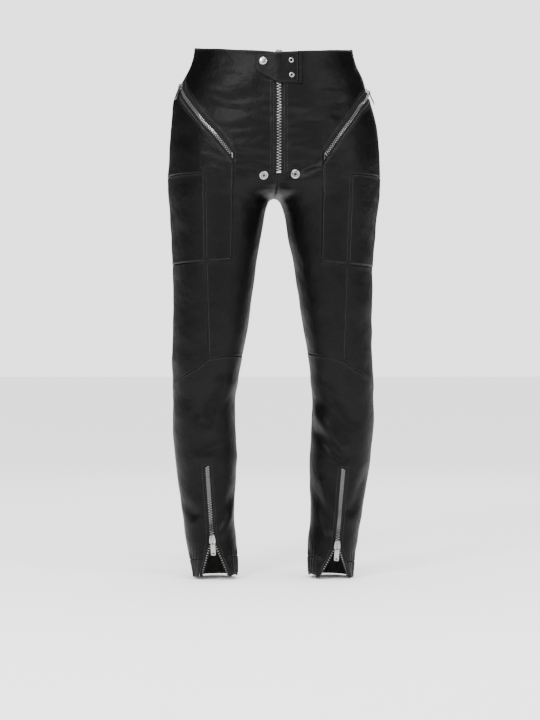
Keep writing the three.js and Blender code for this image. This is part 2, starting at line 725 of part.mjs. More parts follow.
// Front tab, lifted over the zip's slider, with a hole at each eyelet
const tabLift = (x) => TAB_CLEAR + TAB_LIFT * Math.exp(-(((x - 3) / 16) ** 2));
{
  const { left, right, point, leftTop, rightTop, leftFoot, foot } = TAB_CORNERS;
  const outer = [];
  const inner = [];
  const faces = [];
  const xs = [];
  for (let n = 0; n <= 4; n += 1) xs.push(left + (point - left) * n / 4);
  for (let n = 1; n <= 5; n += 1) xs.push(point + (right - point) * n / 5);
  const down = 5;
  xs.forEach((x, n) => {
    const top = leftTop + (rightTop - leftTop) * (x - left) / (right - left);
    const low = x < point ? leftFoot + (foot - leftFoot) * (x - left) / (point - left) : foot;
    for (let m = 0; m <= down; m += 1) {
      const { point: place, normal } = onFront(x, top + (low - top) * m / down);
      inner.push(place.clone().addScaledVector(normal, tabLift(x)));
      outer.push(place.clone().addScaledVector(normal, tabLift(x) + TAB_THICK));
      if (n > 0 && m > 0) {
        const d = n * (down + 1) + m;
        faces.push([d - down - 2, d - down - 1, d, d - 1]);
      }
    }
  });
  const mesh = addSolid('tab', LEATHER, outer, inner, faces);
  let solid = new Manifold(new wasm.Mesh({
    numProp: 3,
    vertProperties: mesh.geometry.attributes.position.array,
    triVerts: new Uint32Array(mesh.geometry.index.array),
  }));
  EYELETS.forEach(([x, z]) => {
    const drill = Manifold.cylinder(40, 2.2, 2.2, 16, true).rotate([90, 0, 0]).translate([x, -112, z]);
    solid = solid.subtract(drill);
  });
  mesh.geometry = toGeometry(solid);
}

// Folded strip at the tab's sewn end
{
  const { left, right, top, foot } = TAB_EDGE;
  const lines = [];
  for (let m = 0; m <= 6; m += 1) {
    const z = top + (foot - top) * m / 6;
    lines.push([left, (left + right) / 2, right].map((x) => onFront(x, z)));
  }
  addStrip('tab_edge', LEATHER, lines, 0.5, 3.9);
}

// The spot on the tab's outer face, tilted as the tab is
function onTab(x, z) {
  const spot = onFront(x, z);
  spot.point.addScaledVector(spot.normal, tabLift(x) + TAB_THICK);
  spot.normal.x -= (tabLift(x + 1) - tabLift(x - 1)) / 2;
  spot.normal.normalize();
  return spot;
}

// How far a disc must be lifted to stand clear of a curved surface
function clearance(spot, radius, surfaceAt) {
  let most = 0;
  for (let n = 0; n < 16; n += 1) {
    const angle = Math.PI * n / 8;
    [0.5, 1].forEach((share) => {
      const x = spot.point.x + share * radius * Math.cos(angle);
      const z = spot.point.z + share * radius * Math.sin(angle);
      most = Math.max(most, surfaceAt(x, z).point.sub(spot.point).dot(spot.normal));
    });
  }
  return most + SEAM_GAP;
}

// Round metal parts: a profile of [radius, height] turned about its axis
function addTurned(name, profile, x, z, surfaceAt) {
  const points = profile.map(([radius, height]) => new THREE.Vector2(radius, height));
  const geometry = new THREE.LatheGeometry(points, 24);
  geometry.rotateX(Math.PI / 2);
  const mesh = addMesh(name, NICKEL, geometry);
  const spot = surfaceAt(x, z);
  placeOn(mesh, spot, UP, clearance(spot, Math.max(...points.map((p) => p.x)), surfaceAt));
}

const RING = [[8.5, 0], [8.5, 1.0], [7.6, 1.6], [6.2, 1.6], [5.8, 0.9], [5.0, 0.9], [4.6, 1.9], [3.2, 1.9],
  [2.7, 0.6], [0, 0.6]];
addTurned('tab_snap', [[0, 0], [8, 0], [8, 0.7], [7.2, 1.5], [5, 2.1], [0, 2.4]], ...TAB_SNAP, onTab);
addTurned('lower_snap_right', [[0, 0], ...RING], ...LOWER_SNAPS.right, onFront);
addTurned('lower_snap_left', [[0, 0], ...RING], ...LOWER_SNAPS.left, onFront);
EYELETS.forEach(([x, z], n) => {
  const profile = [[2.3, 0], [5.2, 0], [5.2, 0.5], [4.4, 1.2], [3.2, 1.2], [2.3, 0.5], [2.3, 0]];
  addTurned(`eyelet_${n + 1}`, profile, x, z, onTab);
});

// A slider's plate with its bridge: wide at the end where the two rows of teeth come in
function sliderSolid(bridge = true) {
  const half = SLIDER_LENGTH / 2;
  const outline = [
    [-SLIDER_NARROW / 2, -half], [SLIDER_NARROW / 2, -half], [SLIDER_WIDE / 2, 1], [SLIDER_WIDE / 2, half - 2],
    [SLIDER_WIDE / 2 - 2, half], [1.2, half], [0, half - 2], [-1.2, half], [2 - SLIDER_WIDE / 2, half],
    [-SLIDER_WIDE / 2, half - 2], [-SLIDER_WIDE / 2, 1],
  ];
  const plate = Manifold.extrude(new CrossSection([outline]), SLIDER_TOP - SLIDER_FOOT)
    .translate([0, 0, SLIDER_FOOT]);
  if (!bridge) return plate;
  const arch = Manifold.cube([BRIDGE_WIDTH, BRIDGE_LENGTH, BRIDGE_TOP - SLIDER_TOP + 0.2], true)
    .translate([0, 0, (BRIDGE_TOP + SLIDER_TOP - 0.2) / 2]);
  const under = BRIDGE_TOP - BRIDGE_WALL;
  const window = Manifold.cube([4 * BRIDGE_WIDTH, BRIDGE_LENGTH - 2 * BRIDGE_WALL, under - SLIDER_TOP], true)
    .translate([0, 0, (under + SLIDER_TOP) / 2]);
  return plate.add(arch.subtract(window));
}

// A pull: a link round the bridge and a plate with a hole. It turns about its own x at the origin.
function pullSolid() {
  const reach = PULL_LINK + PULL_LENGTH;
  const corner = 1.6;
  const link = [
    [-PULL_LINK_WIDTH / 2, PIN / 2], [-PULL_LINK_WIDTH / 2, -PULL_LINK], [PULL_LINK_WIDTH / 2, -PULL_LINK],
    [PULL_LINK_WIDTH / 2, PIN / 2],
  ];
  const tip = [
    [PULL_WIDTH / 2, -PULL_LINK + 0.5], [-PULL_WIDTH / 2, -PULL_LINK + 0.5],
    [-PULL_WIDTH / 2, corner - reach], [corner - PULL_WIDTH / 2, -reach],
    [PULL_WIDTH / 2 - corner, -reach], [PULL_WIDTH / 2, corner - reach],
  ];
  const window = [
    [-PULL_LINK_WIDTH / 2 + PIN, -PIN / 2], [-PULL_LINK_WIDTH / 2 + PIN, -PULL_LINK + 1.5],
    [PULL_LINK_WIDTH / 2 - PIN, -PULL_LINK + 1.5], [PULL_LINK_WIDTH / 2 - PIN, -PIN / 2],
  ];
  const hole = Array.from({ length: 16 }, (_, n) => {
    const angle = 2 * Math.PI * n / 16;
    return [PULL_HOLE[0] / 2 * Math.cos(angle), 3.6 - reach + PULL_HOLE[1] / 2 * Math.sin(angle)];
  });
  const flat = new CrossSection([link]).add(new CrossSection([tip]))
    .subtract(new CrossSection([window])).subtract(new CrossSection([hole]));
  return Manifold.extrude(flat, PIN).translate([0, 0, -PIN / 2]);
}

// Slider and pull on a spot of a zip. `towardsOpen` points to the slider's wide end,
// `hang` is the direction the pull hangs in.
export const pivots = {};
function addSlider(kind, sideName, spot, towardsOpen, hang) {
  const slider = addMesh(`${kind}_zip_slider_${sideName}`, NICKEL, toGeometry(sliderSolid()));
  const frame = placeOn(slider, spot, towardsOpen);
  const pull = addMesh(`${kind}_zip_pull_${sideName}`, NICKEL, toGeometry(pullSolid()));
  const down = hang.clone().addScaledVector(frame.x, -hang.dot(frame.x)).normalize();
  const y = down.clone().negate();
  const z = new THREE.Vector3().crossVectors(frame.x, y);
  const pivot = spot.point.clone().addScaledVector(frame.z, PIVOT_HEIGHT);
  const turn = z.dot(frame.z) < 0 ? -1 : 1;
  const matrix = new THREE.Matrix4().makeBasis(frame.x.clone().multiplyScalar(turn), y, z.multiplyScalar(turn));
  matrix.setPosition(pivot);
  pull.applyMatrix4(matrix);
  const outwards = new THREE.Vector3().crossVectors(down, frame.z).normalize();
  pivots[pull.name] = { pivot: pivot.toArray(), axis: outwards.toArray() };
}

surfaces.forEach((surface) => {
  const { sideName, side, grid, rowOf, marks, sideEdges } = surface;
  const row = rowOf.slider;
  const middle = between(grid[row][marks[3]], grid[row][marks[4]], 0.5);
  const above = between(grid[row - 1][marks[3]], grid[row - 1][marks[4]], 0.5);
  const down = middle.point.clone().sub(above.point).normalize();
  addSlider('ankle', sideName, towards(middle, above, 2), down, new THREE.Vector3(0, 0, -1));

  const last = sideEdges.length - 1;
  const end = between(...sideEdges[last], 0.5);
  const next = between(...sideEdges[last - 1], 0.5);
  const upward = end.point.clone().sub(next.point).normalize();
  const seat = towards(end, next, SLIDER_LENGTH / 2 + (side > 0 ? 1 : 3));
  upward.applyAxisAngle(seat.normal, side * SIDE_SLIDER_TURN[sideName]);
  const lean = seat.normal.clone().multiplyScalar(SIDE_PULL_LEAN[sideName]);
  addSlider('side', sideName, seat, upward, upward.clone().negate().add(lean));
});

// Crown of the main zip's slider, above the tab
{
  const middle = between(rightSurface.grid[0][rightSurface.marks[1]], leftSurface.grid[0][leftSurface.marks[1]], 0.5);
  const below = between(rightSurface.grid[1][rightSurface.marks[1]], leftSurface.grid[1][leftSurface.marks[1]], 0.5);
  const slider = addMesh('main_zip_slider', NICKEL, toGeometry(sliderSolid(false)));
  placeOn(slider, towards(middle, below, SLIDER_LENGTH / 2 - 2.6), UP);
}

export default trousers;
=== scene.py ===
import bmesh
import bpy
import numpy as np
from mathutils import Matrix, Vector


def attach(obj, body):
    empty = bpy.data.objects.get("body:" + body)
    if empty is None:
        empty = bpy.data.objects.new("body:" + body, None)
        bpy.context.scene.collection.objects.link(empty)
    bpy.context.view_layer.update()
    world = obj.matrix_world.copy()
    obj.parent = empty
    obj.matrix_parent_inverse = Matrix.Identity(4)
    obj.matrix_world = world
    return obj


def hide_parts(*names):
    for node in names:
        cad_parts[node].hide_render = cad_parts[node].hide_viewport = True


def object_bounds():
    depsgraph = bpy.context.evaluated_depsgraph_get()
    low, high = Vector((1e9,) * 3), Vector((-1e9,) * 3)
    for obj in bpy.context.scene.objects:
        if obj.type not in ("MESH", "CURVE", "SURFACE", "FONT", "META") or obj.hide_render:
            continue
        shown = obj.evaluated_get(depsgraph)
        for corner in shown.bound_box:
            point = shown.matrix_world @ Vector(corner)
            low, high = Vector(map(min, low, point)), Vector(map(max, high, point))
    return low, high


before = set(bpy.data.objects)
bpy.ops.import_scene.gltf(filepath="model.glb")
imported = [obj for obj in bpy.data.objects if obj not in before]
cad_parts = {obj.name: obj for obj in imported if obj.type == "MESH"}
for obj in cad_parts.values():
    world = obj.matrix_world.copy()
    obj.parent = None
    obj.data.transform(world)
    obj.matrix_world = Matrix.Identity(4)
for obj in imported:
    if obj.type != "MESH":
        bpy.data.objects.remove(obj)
cad_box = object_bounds()

# Front panels, one for each leg: soft black leather from the waist to the knee, sewn to each other
# at the crotch and to the other panels along the seams. All cut pieces lie on the one worn surface
# that is worked out here, in millimetres, and every seam is a line of its mesh.
MM = 0.001
WALL = 1.6
# height, right outer, right inner, left inner, left outer, front, back, squareness, join
SECTIONS = np.array([
    [40, 158, -156, -158, 156, -106, 104, 2.05, 1],
    [0, 158, -156, -158, 156, -108, 106, 2.05, 1],
    [-32, 166, -160, -160, 164, -110, 109, 2.1, 1],
    [-56, 179, -163, -164, 175, -112, 113, 2.15, 1],
    [-80, 192, -163, -164, 183, -113, 118, 2.2, 2],
    [-104, 201, -160, -160, 191, -114, 123, 2.25, 3],
    [-128, 204, -150, -150, 198, -115, 129, 2.3, 4],
    [-176, 207, -122, -122, 208, -116, 138, 2.4, 6],
    [-224, 210, -80, -80, 211, -114, 142, 2.45, 8],
    [-262, 211, -50, -50, 212, -111, 138, 2.4, 10],
    [-284, 211, -18, -18, 211, -108, 131, 2.35, 10],
    [-297, 210, 7, 7, 210, -105, 124, 2.3, 10],
    [-310, 209, 14, 15, 208, -104, 117, 2.25, 9],
    [-344, 207, 22, 23, 204, -102, 102, 2.2, 6],
    [-384, 204, 29, 29, 199, -101, 90, 2.15, 3],
    [-424, 203, 36, 37, 196, -100, 82, 2.1, 1],
    [-504, 202, 47, 50, 195, -96, 72, 2.1, 1],
    [-584, 203, 59, 62, 194, -88, 64, 2.1, 1],
    [-624, 205, 66, 68, 196, -82, 60, 2.1, 1],
    [-664, 203, 73, 73, 197, -76, 60, 2.1, 1],
    [-704, 202, 79, 77, 199, -70, 64, 2.1, 1],
    [-744, 203, 78, 75, 200, -66, 68, 2.1, 1],
    [-784, 201, 76, 73, 197, -62, 70, 2.1, 1],
    [-824, 197, 75, 71, 192, -58, 67, 2.1, 1],
    [-864, 192, 77, 72, 186, -55, 62, 2.1, 1],
    [-904, 187, 80, 73, 179, -53, 57, 2.1, 1],
    [-944, 181, 80, 72, 173, -52, 52, 2.1, 1],
    [-984, 175, 77, 67, 167, -52, 51, 2.1, 1],
    [-1024, 167, 73, 67, 160, -54, 52, 2.1, 1],
    [-1058, 160, 74, 69, 156, -56, 53, 2.1, 1],
    [-1090, 158, 74, 70, 154, -57, 54, 2.1, 1],
])
# face, x and height where it starts, x and height where it ends, half width, depth
FOLDS = [
    [-1, -51, -79, -143, -87, 13, 3],
    [-1, -86, -130, -135, -130, 13, -3],
    [-1, -34, -200, -86, -200, 14, 3],
    [-1, 26, -124, 122, -118, 13, -4],
    [-1, 25, -163, 102, -155, 13, 3],
    [-1, 28, -206, 80, -200, 12, 3],
    [-1, 8, -296, 87, -260, 14, 5],
    [-1, 50, -246, 90, -228, 12, -4],
    [-1, -10, -286, -79, -298, 15, -5],
    [-1, -46, -328, -44, -373, 14, -4],
    [-1, -112, -644, -148, -726, 14, -6],
    [-1, -91, -669, -126, -757, 13, 5],
    [-1, -150, -811, -128, -811, 9, 3],
    [-1, -183, -905, -162, -923, 11, -5],
    [-1, -79, -881, -112, -940, 12, -6],
    [-1, -75, -903, -103, -962, 10, 4],
    [-1, 103, -659, 152, -740, 13, -5],
    [-1, 72, -722, 129, -789, 12, 7],
    [-1, 72, -752, 129, -811, 10, -6],
    [-1, 70, -860, 108, -952, 11, -6],
    [-1, 90, -862, 118, -934, 10, 5],
    [-1, 184, -846, 151, -917, 12, -5],
    [1, -30, -335, -150, -300, 20, -6],
    [1, 30, -330, 150, -305, 20, -6],
    [1, -85, -575, -190, -595, 15, -6],
    [1, -80, -646, -195, -640, 17, -5],
    [1, -88, -705, -190, -690, 14, -5],
    [1, 80, -580, 190, -600, 15, -6],
    [1, 82, -652, 190, -646, 17, -5],
    [1, 86, -700, 190, -712, 14, -5],
    [1, -90, -900, -180, -915, 12, -4],
    [1, 88, -905, 172, -890, 12, -4],
]
# name, centre front or inseam, pocket seam, side line, outer line, side, centre back or inseam, rows
ROUND_SEAMS = {
    "right": [
        ["waist", -20, -14, -8, -5, 4, 8, 9],
        ["slot_top", -206, -213, -144, -109, -62, -105, 1],
        ["slot_foot", -228, -239, -170, -134, -85, -125, 6],
        ["pocket_top", -256, -256, -256, -256, -256, -225, 6],
        ["crotch", -297, -322, -329, -330, -330, -297, 6],
        ["pocket_foot", -424, -425, -428, -429, -432, -424, 10],
        ["knee", -611, -613, -618, -635, -684, -611, 9],
        ["ankle_slot", -828, -828, -828, -828, -828, -828, 6],
        ["slider", -976, -976, -976, -976, -976, -976, 2],
        ["cuff", -1010, -1009, -1010, -1012, -1019, -1012, 2],
        ["hem", -1045, -1046, -1048, -1049, -1053, -1050, 0],
    ],
    "left": [
        ["waist", -20, -14, -8, -5, 4, 8, 9],
        ["slot_top", -206, -215, -136, -104, -72, -105, 1],
        ["slot_foot", -228, -240, -162, -129, -94, -125, 6],
        ["pocket_top", -256, -256, -256, -256, -256, -225, 6],
        ["crotch", -297, -324, -331, -332, -332, -297, 6],
        ["pocket_foot", -427, -429, -433, -434, -436, -427, 10],
        ["knee", -605, -614, -624, -639, -682, -605, 9],
        ["ankle_slot", -834, -834, -834, -834, -834, -834, 6],
        ["slider", -988, -988, -988, -988, -988, -988, 2],
        ["cuff", -1012, -1010, -1016, -1018, -1024, -1014, 2],
        ["hem", -1045, -1047, -1052, -1053, -1054, -1050, 0],
    ],
}
# height, distance from the centre plane
DOWN_SEAMS = {
    "right": {
        "fly": [[20, 6.2], [-256, 6.2]],
        "pocket": [[20, 82], [-212, 84.5], [-256, 86], [-425, 88.2], [-613, 104], [-828, 103], [-1060, 84]],
        "line": [[20, 126], [-138, 143], [-256, 141.6], [-428, 139.5], [-618, 133.5], [-828, 128.6],
                 [-976, 118], [-1048, 86]],
        "outer": [[20, 141], [-138, 170], [-256, 166], [-428, 160], [-618, 155], [-828, 143],
                  [-976, 132.4], [-1048, 152]],
    },
    "left": {
        "fly": [[20, 12.2], [-256, 12.2]],
        "pocket": [[20, 86], [-212, 89.4], [-256, 89.4], [-429, 87.2], [-614, 104], [-834, 101],
                   [-1060, 79]],
        "line": [[20, 128], [-136, 146], [-256, 145.3], [-433, 140], [-624, 135.6], [-834, 126.6],
                 [-988, 114.2], [-1052, 80]],
        "outer": [[20, 143], [-136, 170], [-256, 168], [-433, 160], [-624, 155], [-834, 141],
                  [-988, 128.6], [-1052, 151]],
    },
}
DOWN_CELLS = [1, 6, 3, 1, 3, 9]
PATH_STEPS = 28
# rows over which the line that starts at the foot of the fly fades into even spacing
FLY_FADE = 4
MARKS = np.concatenate([[0], np.cumsum(DOWN_CELLS)])
# height, angle of the side seam round the leg
SIDE_SEAM = {
    "right": [[20, 0.09], [-62, -0.15], [-130, -0.15], [-256, 0.09]],
    "left": [[20, 0.09], [-72, -0.03], [-130, -0.03], [-256, 0.09]],
}
SIDES = {"right": -1, "left": 1}
# share of a leg's half depth over which a fold of the front or the back fades in
FACING = 0.45
# steps outward from a leg's middle to its surface: the shortest, and the share of the way left
LEAST_STEP, STEP_SHARE = 1.5, 0.8


def section_at(z):
    """All columns of SECTIONS at each height, by a cubic through the rows: the slope at a row is that
    of the straight line between its two neighbours."""
    rows = SECTIONS
    z = np.clip(z, rows[-1, 0], rows[0, 0])
    i = np.clip(np.searchsorted(-rows[:, 0], -z, side="left") - 1, 0, len(rows) - 2)
    before = np.maximum(np.arange(len(rows)) - 1, 0)
    after = np.minimum(np.arange(len(rows)) + 1, len(rows) - 1)
    slopes = (rows[after] - rows[before]) / (rows[after, 0] - rows[before, 0])[:, None]
    step = (rows[i + 1, 0] - rows[i, 0])[..., None]
    s = (z[..., None] - rows[i, 0][..., None]) / step
    return (
        (1 + 2 * s) * (1 - s) ** 2 * rows[i]
        + s * (1 - s) ** 2 * slopes[i] * step
        + s * s * (3 - 2 * s) * rows[i + 1]
        + s * s * (s - 1) * slopes[i + 1] * step
    )


def leg_shape(side, section):
    """Middle x, half width, middle y and half depth of a leg's section. side is -1 or 1."""
    outer = np.where(side > 0, section[..., 4], section[..., 1])
    inner = np.where(side > 0, section[..., 3], section[..., 2])
    front, back = section[..., 5], section[..., 6]
    return side * (outer + inner) / 2, (outer - inner) / 2, (front + back) / 2, (back - front) / 2


def inside(x, y, section):
    """Below zero inside either leg: for each leg the superellipse radius less one, times its smaller
    half size, and then the softened smaller of the two."""
    power = section[..., 7]
    values = []
    for side in (1, -1):
        cx, a, cy, b = leg_shape(side, section)
        radius = (np.abs((x - cx) / a) ** power + np.abs((y - cy) / b) ** power) ** (1 / power)
        values.append((radius - 1) * np.minimum(a, b))
    soft = section[..., 8]
    return np.minimum(*values) - soft * np.log1p(np.exp(-np.abs(values[0] - values[1]) / soft))


def fold_weight(fold, x, y, z, cy, b):
    """How strongly each point feels a fold: a smooth step over how much the point faces the fold's
    side, times a bell curve of its distance from the fold's line. Also its place along that line."""
    face, x0, z0, x1, z1, width, _ = fold
    facing = np.clip(face * (y - cy) / b / FACING, 0, 1)
    dx, dz = x1 - x0, z1 - z0
    t = np.clip(((x - x0) * dx + (z - z0) * dz) / (dx * dx + dz * dz), 0, 1)
    far = ((x - x0 - t * dx) ** 2 + (z - z0 - t * dz) ** 2) / width**2
    return facing**2 * (3 - 2 * facing) * np.exp(-far), t


def fold_shift(x, y, z, section):
    """How far back the folds push each point: the sum of their depths, each times its weight."""
    _, _, cy, b = leg_shape(np.where(x < 0, -1, 1), section)
    return sum(fold[0] * fold[-1] * fold_weight(fold, x, y, z, cy, b)[0] for fold in FOLDS)


def halve(low, high, times, short):
    """Closes in, by halving, on the place between low and high at which short(place) stops holding."""
    for _ in range(times):
        middle = (low + high) / 2
        yes = short(middle)
        low, high = np.where(yes, middle, low), np.where(yes, high, middle)
    return low, high


def unit(vectors):
    """The same directions at length one."""
    return vectors / np.linalg.norm(vectors, axis=-1, keepdims=True)


def run_of(points):
    """Length of a path from its first point up to each of its points."""
    return np.concatenate([[0], np.cumsum(np.linalg.norm(np.diff(points, axis=0), axis=1))])


def bare(side, angle, z):
    """The surface without folds at each angle round a leg: out from the leg's middle in steps that
    shorten near the surface, never over the centre plane in one step, and then by halving."""
    section = section_at(z)
    cx, _, cy, _ = leg_shape(side, section)
    dx, dy = side * np.cos(angle), np.sin(angle)
    centre = np.where(cx * dx < 0, -cx / np.where(dx == 0, 1, dx), np.inf)
    near, far = np.zeros_like(z), np.zeros_like(z)
    going = np.ones(z.shape, bool)
    for _ in range(90):
        value = inside(cx + far * dx, cy + far * dy, section)
        going &= value < 0
        if not going.any():
            break
        step = far + np.maximum(LEAST_STEP, -STEP_SHARE * value)
        step = np.where((far < centre) & (step > centre), centre, step)
        near = np.where(going, far, near)
        far = np.where(going, step, far)
    near, _ = halve(near, far, 24, lambda r: inside(cx + r * dx, cy + r * dy, section) < 0)
    return np.stack([cx + near * dx, cy + near * dy, z], axis=-1)


def skin(points):
    """Points moved by the folds, and their outward normals by small steps in x, y and z."""
    def value(x, y, z):
        section = section_at(z)
        return inside(x, y - fold_shift(x, y, z, section), section)

    x, y, z = np.moveaxis(points, -1, 0)
    y = y + fold_shift(x, y, z, section_at(z))
    h = 0.5
    normal = np.stack([
        value(x + h, y, z) - value(x - h, y, z),
        value(x, y + h, z) - value(x, y - h, z),
        value(x, y, z + h) - value(x, y, z - h),
    ], axis=-1)
    return np.stack([x, y, z], axis=-1), unit(normal)


def angle_at(side, out, z, face):
    """The angle at which the surface lies a given distance out from the centre plane, by halving."""
    return face * halve(np.zeros_like(z), np.full_like(z, np.pi), 30,
                        lambda angle: side * bare(side, face * angle, z)[..., 0] > out)[0]


def parted(z):
    """Whether the two legs are separate at a height."""
    section = section_at(z)
    return inside(np.array(0.0), (section[5] + section[6]) / 2, section) >= 0


CROTCH = float(sum(halve(np.array(-330.0), np.array(-250.0), 40, parted)) / 2)


def seam_heights(start, face, count):
    """Heights evenly spaced along the centre seam from one height down to the crotch."""
    z = CROTCH + 0.02 + (start - CROTCH) * (1 - np.arange(161) / 160) ** 2
    length = run_of(bare(1, angle_at(1, 0.0, z, face), z))
    found = np.searchsorted(length, length[-1] * np.arange(count + 1) / count - 1e-9)
    return np.append(z[found[:-1]], CROTCH)


def coarse_grid(name):
    """Angle and height at the corners of the seam net of one leg, and the row of each seam. Rows run
    from waist to hem, columns from the centre front round to the centre back."""
    side, seams, down = SIDES[name], ROUND_SEAMS[name], DOWN_SEAMS[name]
    row_of, rows, upper = {}, [], []
    for k, seam in enumerate(seams):
        row_of[seam[0]] = len(rows)
        count = seam[7]
        after = seams[min(k + 1, len(seams) - 1)]
        for n in range(max(count, 1)):
            t = n / count if count else 0
            heights = [seam[c] + t * (after[c] - seam[c]) for c in range(1, 7)]
            if seam[0] == "crotch" and n == 0:
                heights[0] = heights[5] = CROTCH + 1e-5
            if seam[0] == "pocket_top":
                heights[0] = seam_heights(seam[1], -1, count)[n]
                heights[5] = seam_heights(seam[6], 1, count)[n]
            rows.append(heights)
            upper.append(k < 4 or (k == 4 and n == 0))
    z = np.array(rows, float)
    upper = np.array(upper)

    def stop(column, table):
        out = np.interp(-z[:, column], [-h for h, _ in table], [d for _, d in table])
        return angle_at(side, out, z[:, column], -1)

    side_seam = np.array(SIDE_SEAM[name])
    angles = np.stack([
        np.where(upper, angle_at(side, 0.0, z[:, 0], -1), -np.pi),
        stop(1, down["pocket"]),
        stop(2, down["line"]),
        stop(3, down["outer"]),
        np.interp(-z[:, 4], -side_seam[:, 0], side_seam[:, 1]),
        np.where(upper, angle_at(side, 0.0, z[:, 5], 1), np.pi),
    ], axis=1)
    fly = np.interp(-z[:, 0], [-h for h, _ in down["fly"]], [d for _, d in down["fly"]])
    top = row_of["pocket_top"]
    mix = np.clip((np.arange(len(z)) - top) / FLY_FADE, 0, 1)
    cells = [DOWN_CELLS[0] + DOWN_CELLS[1], *DOWN_CELLS[2:]]
    angle_net, height_net = [angles[:, :1]], [z[:, :1]]
    for k, count in enumerate(cells):
        t = np.arange(PATH_STEPS + 1) / PATH_STEPS
        angle = angles[:, k, None] + t * (angles[:, k + 1] - angles[:, k])[:, None]
        height = z[:, k, None] + t * (z[:, k + 1] - z[:, k])[:, None]
        path = bare(side, angle, height)
        length = np.cumsum(np.linalg.norm(np.diff(path, axis=1), axis=2), axis=1)
        length = np.concatenate([np.zeros((len(z), 1)), length], axis=1)
        shares = np.tile(np.arange(1, count + 1) / count, (len(z), 1))
        if k == 0:
            first = fly / length[:, -1] * (1 - mix) + mix / count
            shares = first[:, None] + (1 - first)[:, None] * np.arange(count) / (count - 1)
        goal = shares * length[:, -1:]
        angle_net.append(np.array([np.interp(g, s, a) for g, s, a in zip(goal, length, angle)]))
        height_net.append(np.array([np.interp(g, s, h) for g, s, h in zip(goal, length, height)]))
    return np.concatenate(angle_net, axis=1), np.concatenate(height_net, axis=1), row_of


# distances from a seam at which the mesh has its close lines, and the spacing of its even ones
SEAM_LINES = np.array([0.8, 1.8, 3.0, 4.6, 7.0])
PITCH = 3.0


def spread(length, at_start, at_end):
    """Shares of each length at which the lines of the mesh lie, without the last end: close lines
    beside a seam, and evenly spaced ones in between."""
    room = 0.42 if at_start and at_end else 0.8
    near = SEAM_LINES * np.minimum(1, room * length / SEAM_LINES[-1])[:, None] / length[:, None]
    a = near[:, -1:] if at_start else 0 * length[:, None]
    b = 1 - near[:, -1:] if at_end else 1 + 0 * length[:, None]
    count = max(1, round(float(np.median((b - a)[:, 0] * length)) / PITCH))
    even = a + (b - a) * np.arange(count + 1) / count
    parts = [0 * a, near[:, :-1]] if at_start else []
    parts.append(even if at_end else even[:, :-1])
    if at_end:
        parts.append(1 - near[:, -2::-1])
    return np.concatenate(parts, axis=1)


def divide(nets, lengths, seams):
    """The nets with each row of cells divided at the lines of spread. Also the cell in which each new
    row lies and the new row at which each cell starts."""
    finer, cells = [[] for _ in nets], []
    for i, length in enumerate(lengths):
        share = spread(length, i in seams, i + 1 in seams).T
        for net, rows in zip(nets, finer):
            rows.append(net[i] + share * (net[i + 1] - net[i]))
        cells += [i] * len(share)
    starts = np.append(np.searchsorted(cells, np.arange(cells[-1] + 1)), len(cells))
    return [np.concatenate([*rows, net[-1:]]) for net, rows in zip(nets, finer)], np.array(cells), starts


def leg_surface(name):
    """The whole surface of one leg as a fine grid of points and normals. The seam net's cells are
    divided along their rows and then along their columns, and each new line is put back on the
    surface. rows and columns tell the grid line of each seam, row_cell and column_cell the net's row
    and column to which each of the grid's belongs."""
    side = SIDES[name]
    angle, height, row_of = coarse_grid(name)
    seam_rows = {row_of[k] for k in row_of if k not in ("crotch", "slider")}
    tall = np.linalg.norm(np.diff(bare(side, angle, height), axis=0), axis=2)
    (angle, height), row_cell, row_line = divide([angle, height], tall, seam_rows)
    for column, face in ((0, -1), (-1, 1)):
        joined = height[:, column] > CROTCH
        on_centre = angle_at(side, 0.0, height[:, column], face)
        angle[:, column] = np.where(joined, on_centre, face * np.pi)
    wide = np.linalg.norm(np.diff(bare(side, angle, height), axis=1), axis=2)
    nets, column_cell, column_line = divide([angle.T, height.T], wide.T, set(MARKS.tolist()))
    angle, height = [net.T for net in nets]
    points, normals = skin(bare(side, angle, height))
    section = section_at(np.array(CROTCH))
    crotch = row_line[row_of["crotch"]]
    points[crotch, [0, -1]] = [0, (section[5] + section[6]) / 2, CROTCH]
    normals[crotch, [0, -1]] = [0, 0, -1]
    return {
        "name": name,
        "side": side,
        "points": points,
        "normals": normals,
        "row_of": row_of,
        "rows": {k: row_line[v] for k, v in row_of.items()},
        "columns": column_line[MARKS],
        "row_cell": row_cell,
        "column_cell": column_cell,
    }


legs = [leg_surface("right"), leg_surface("left")]

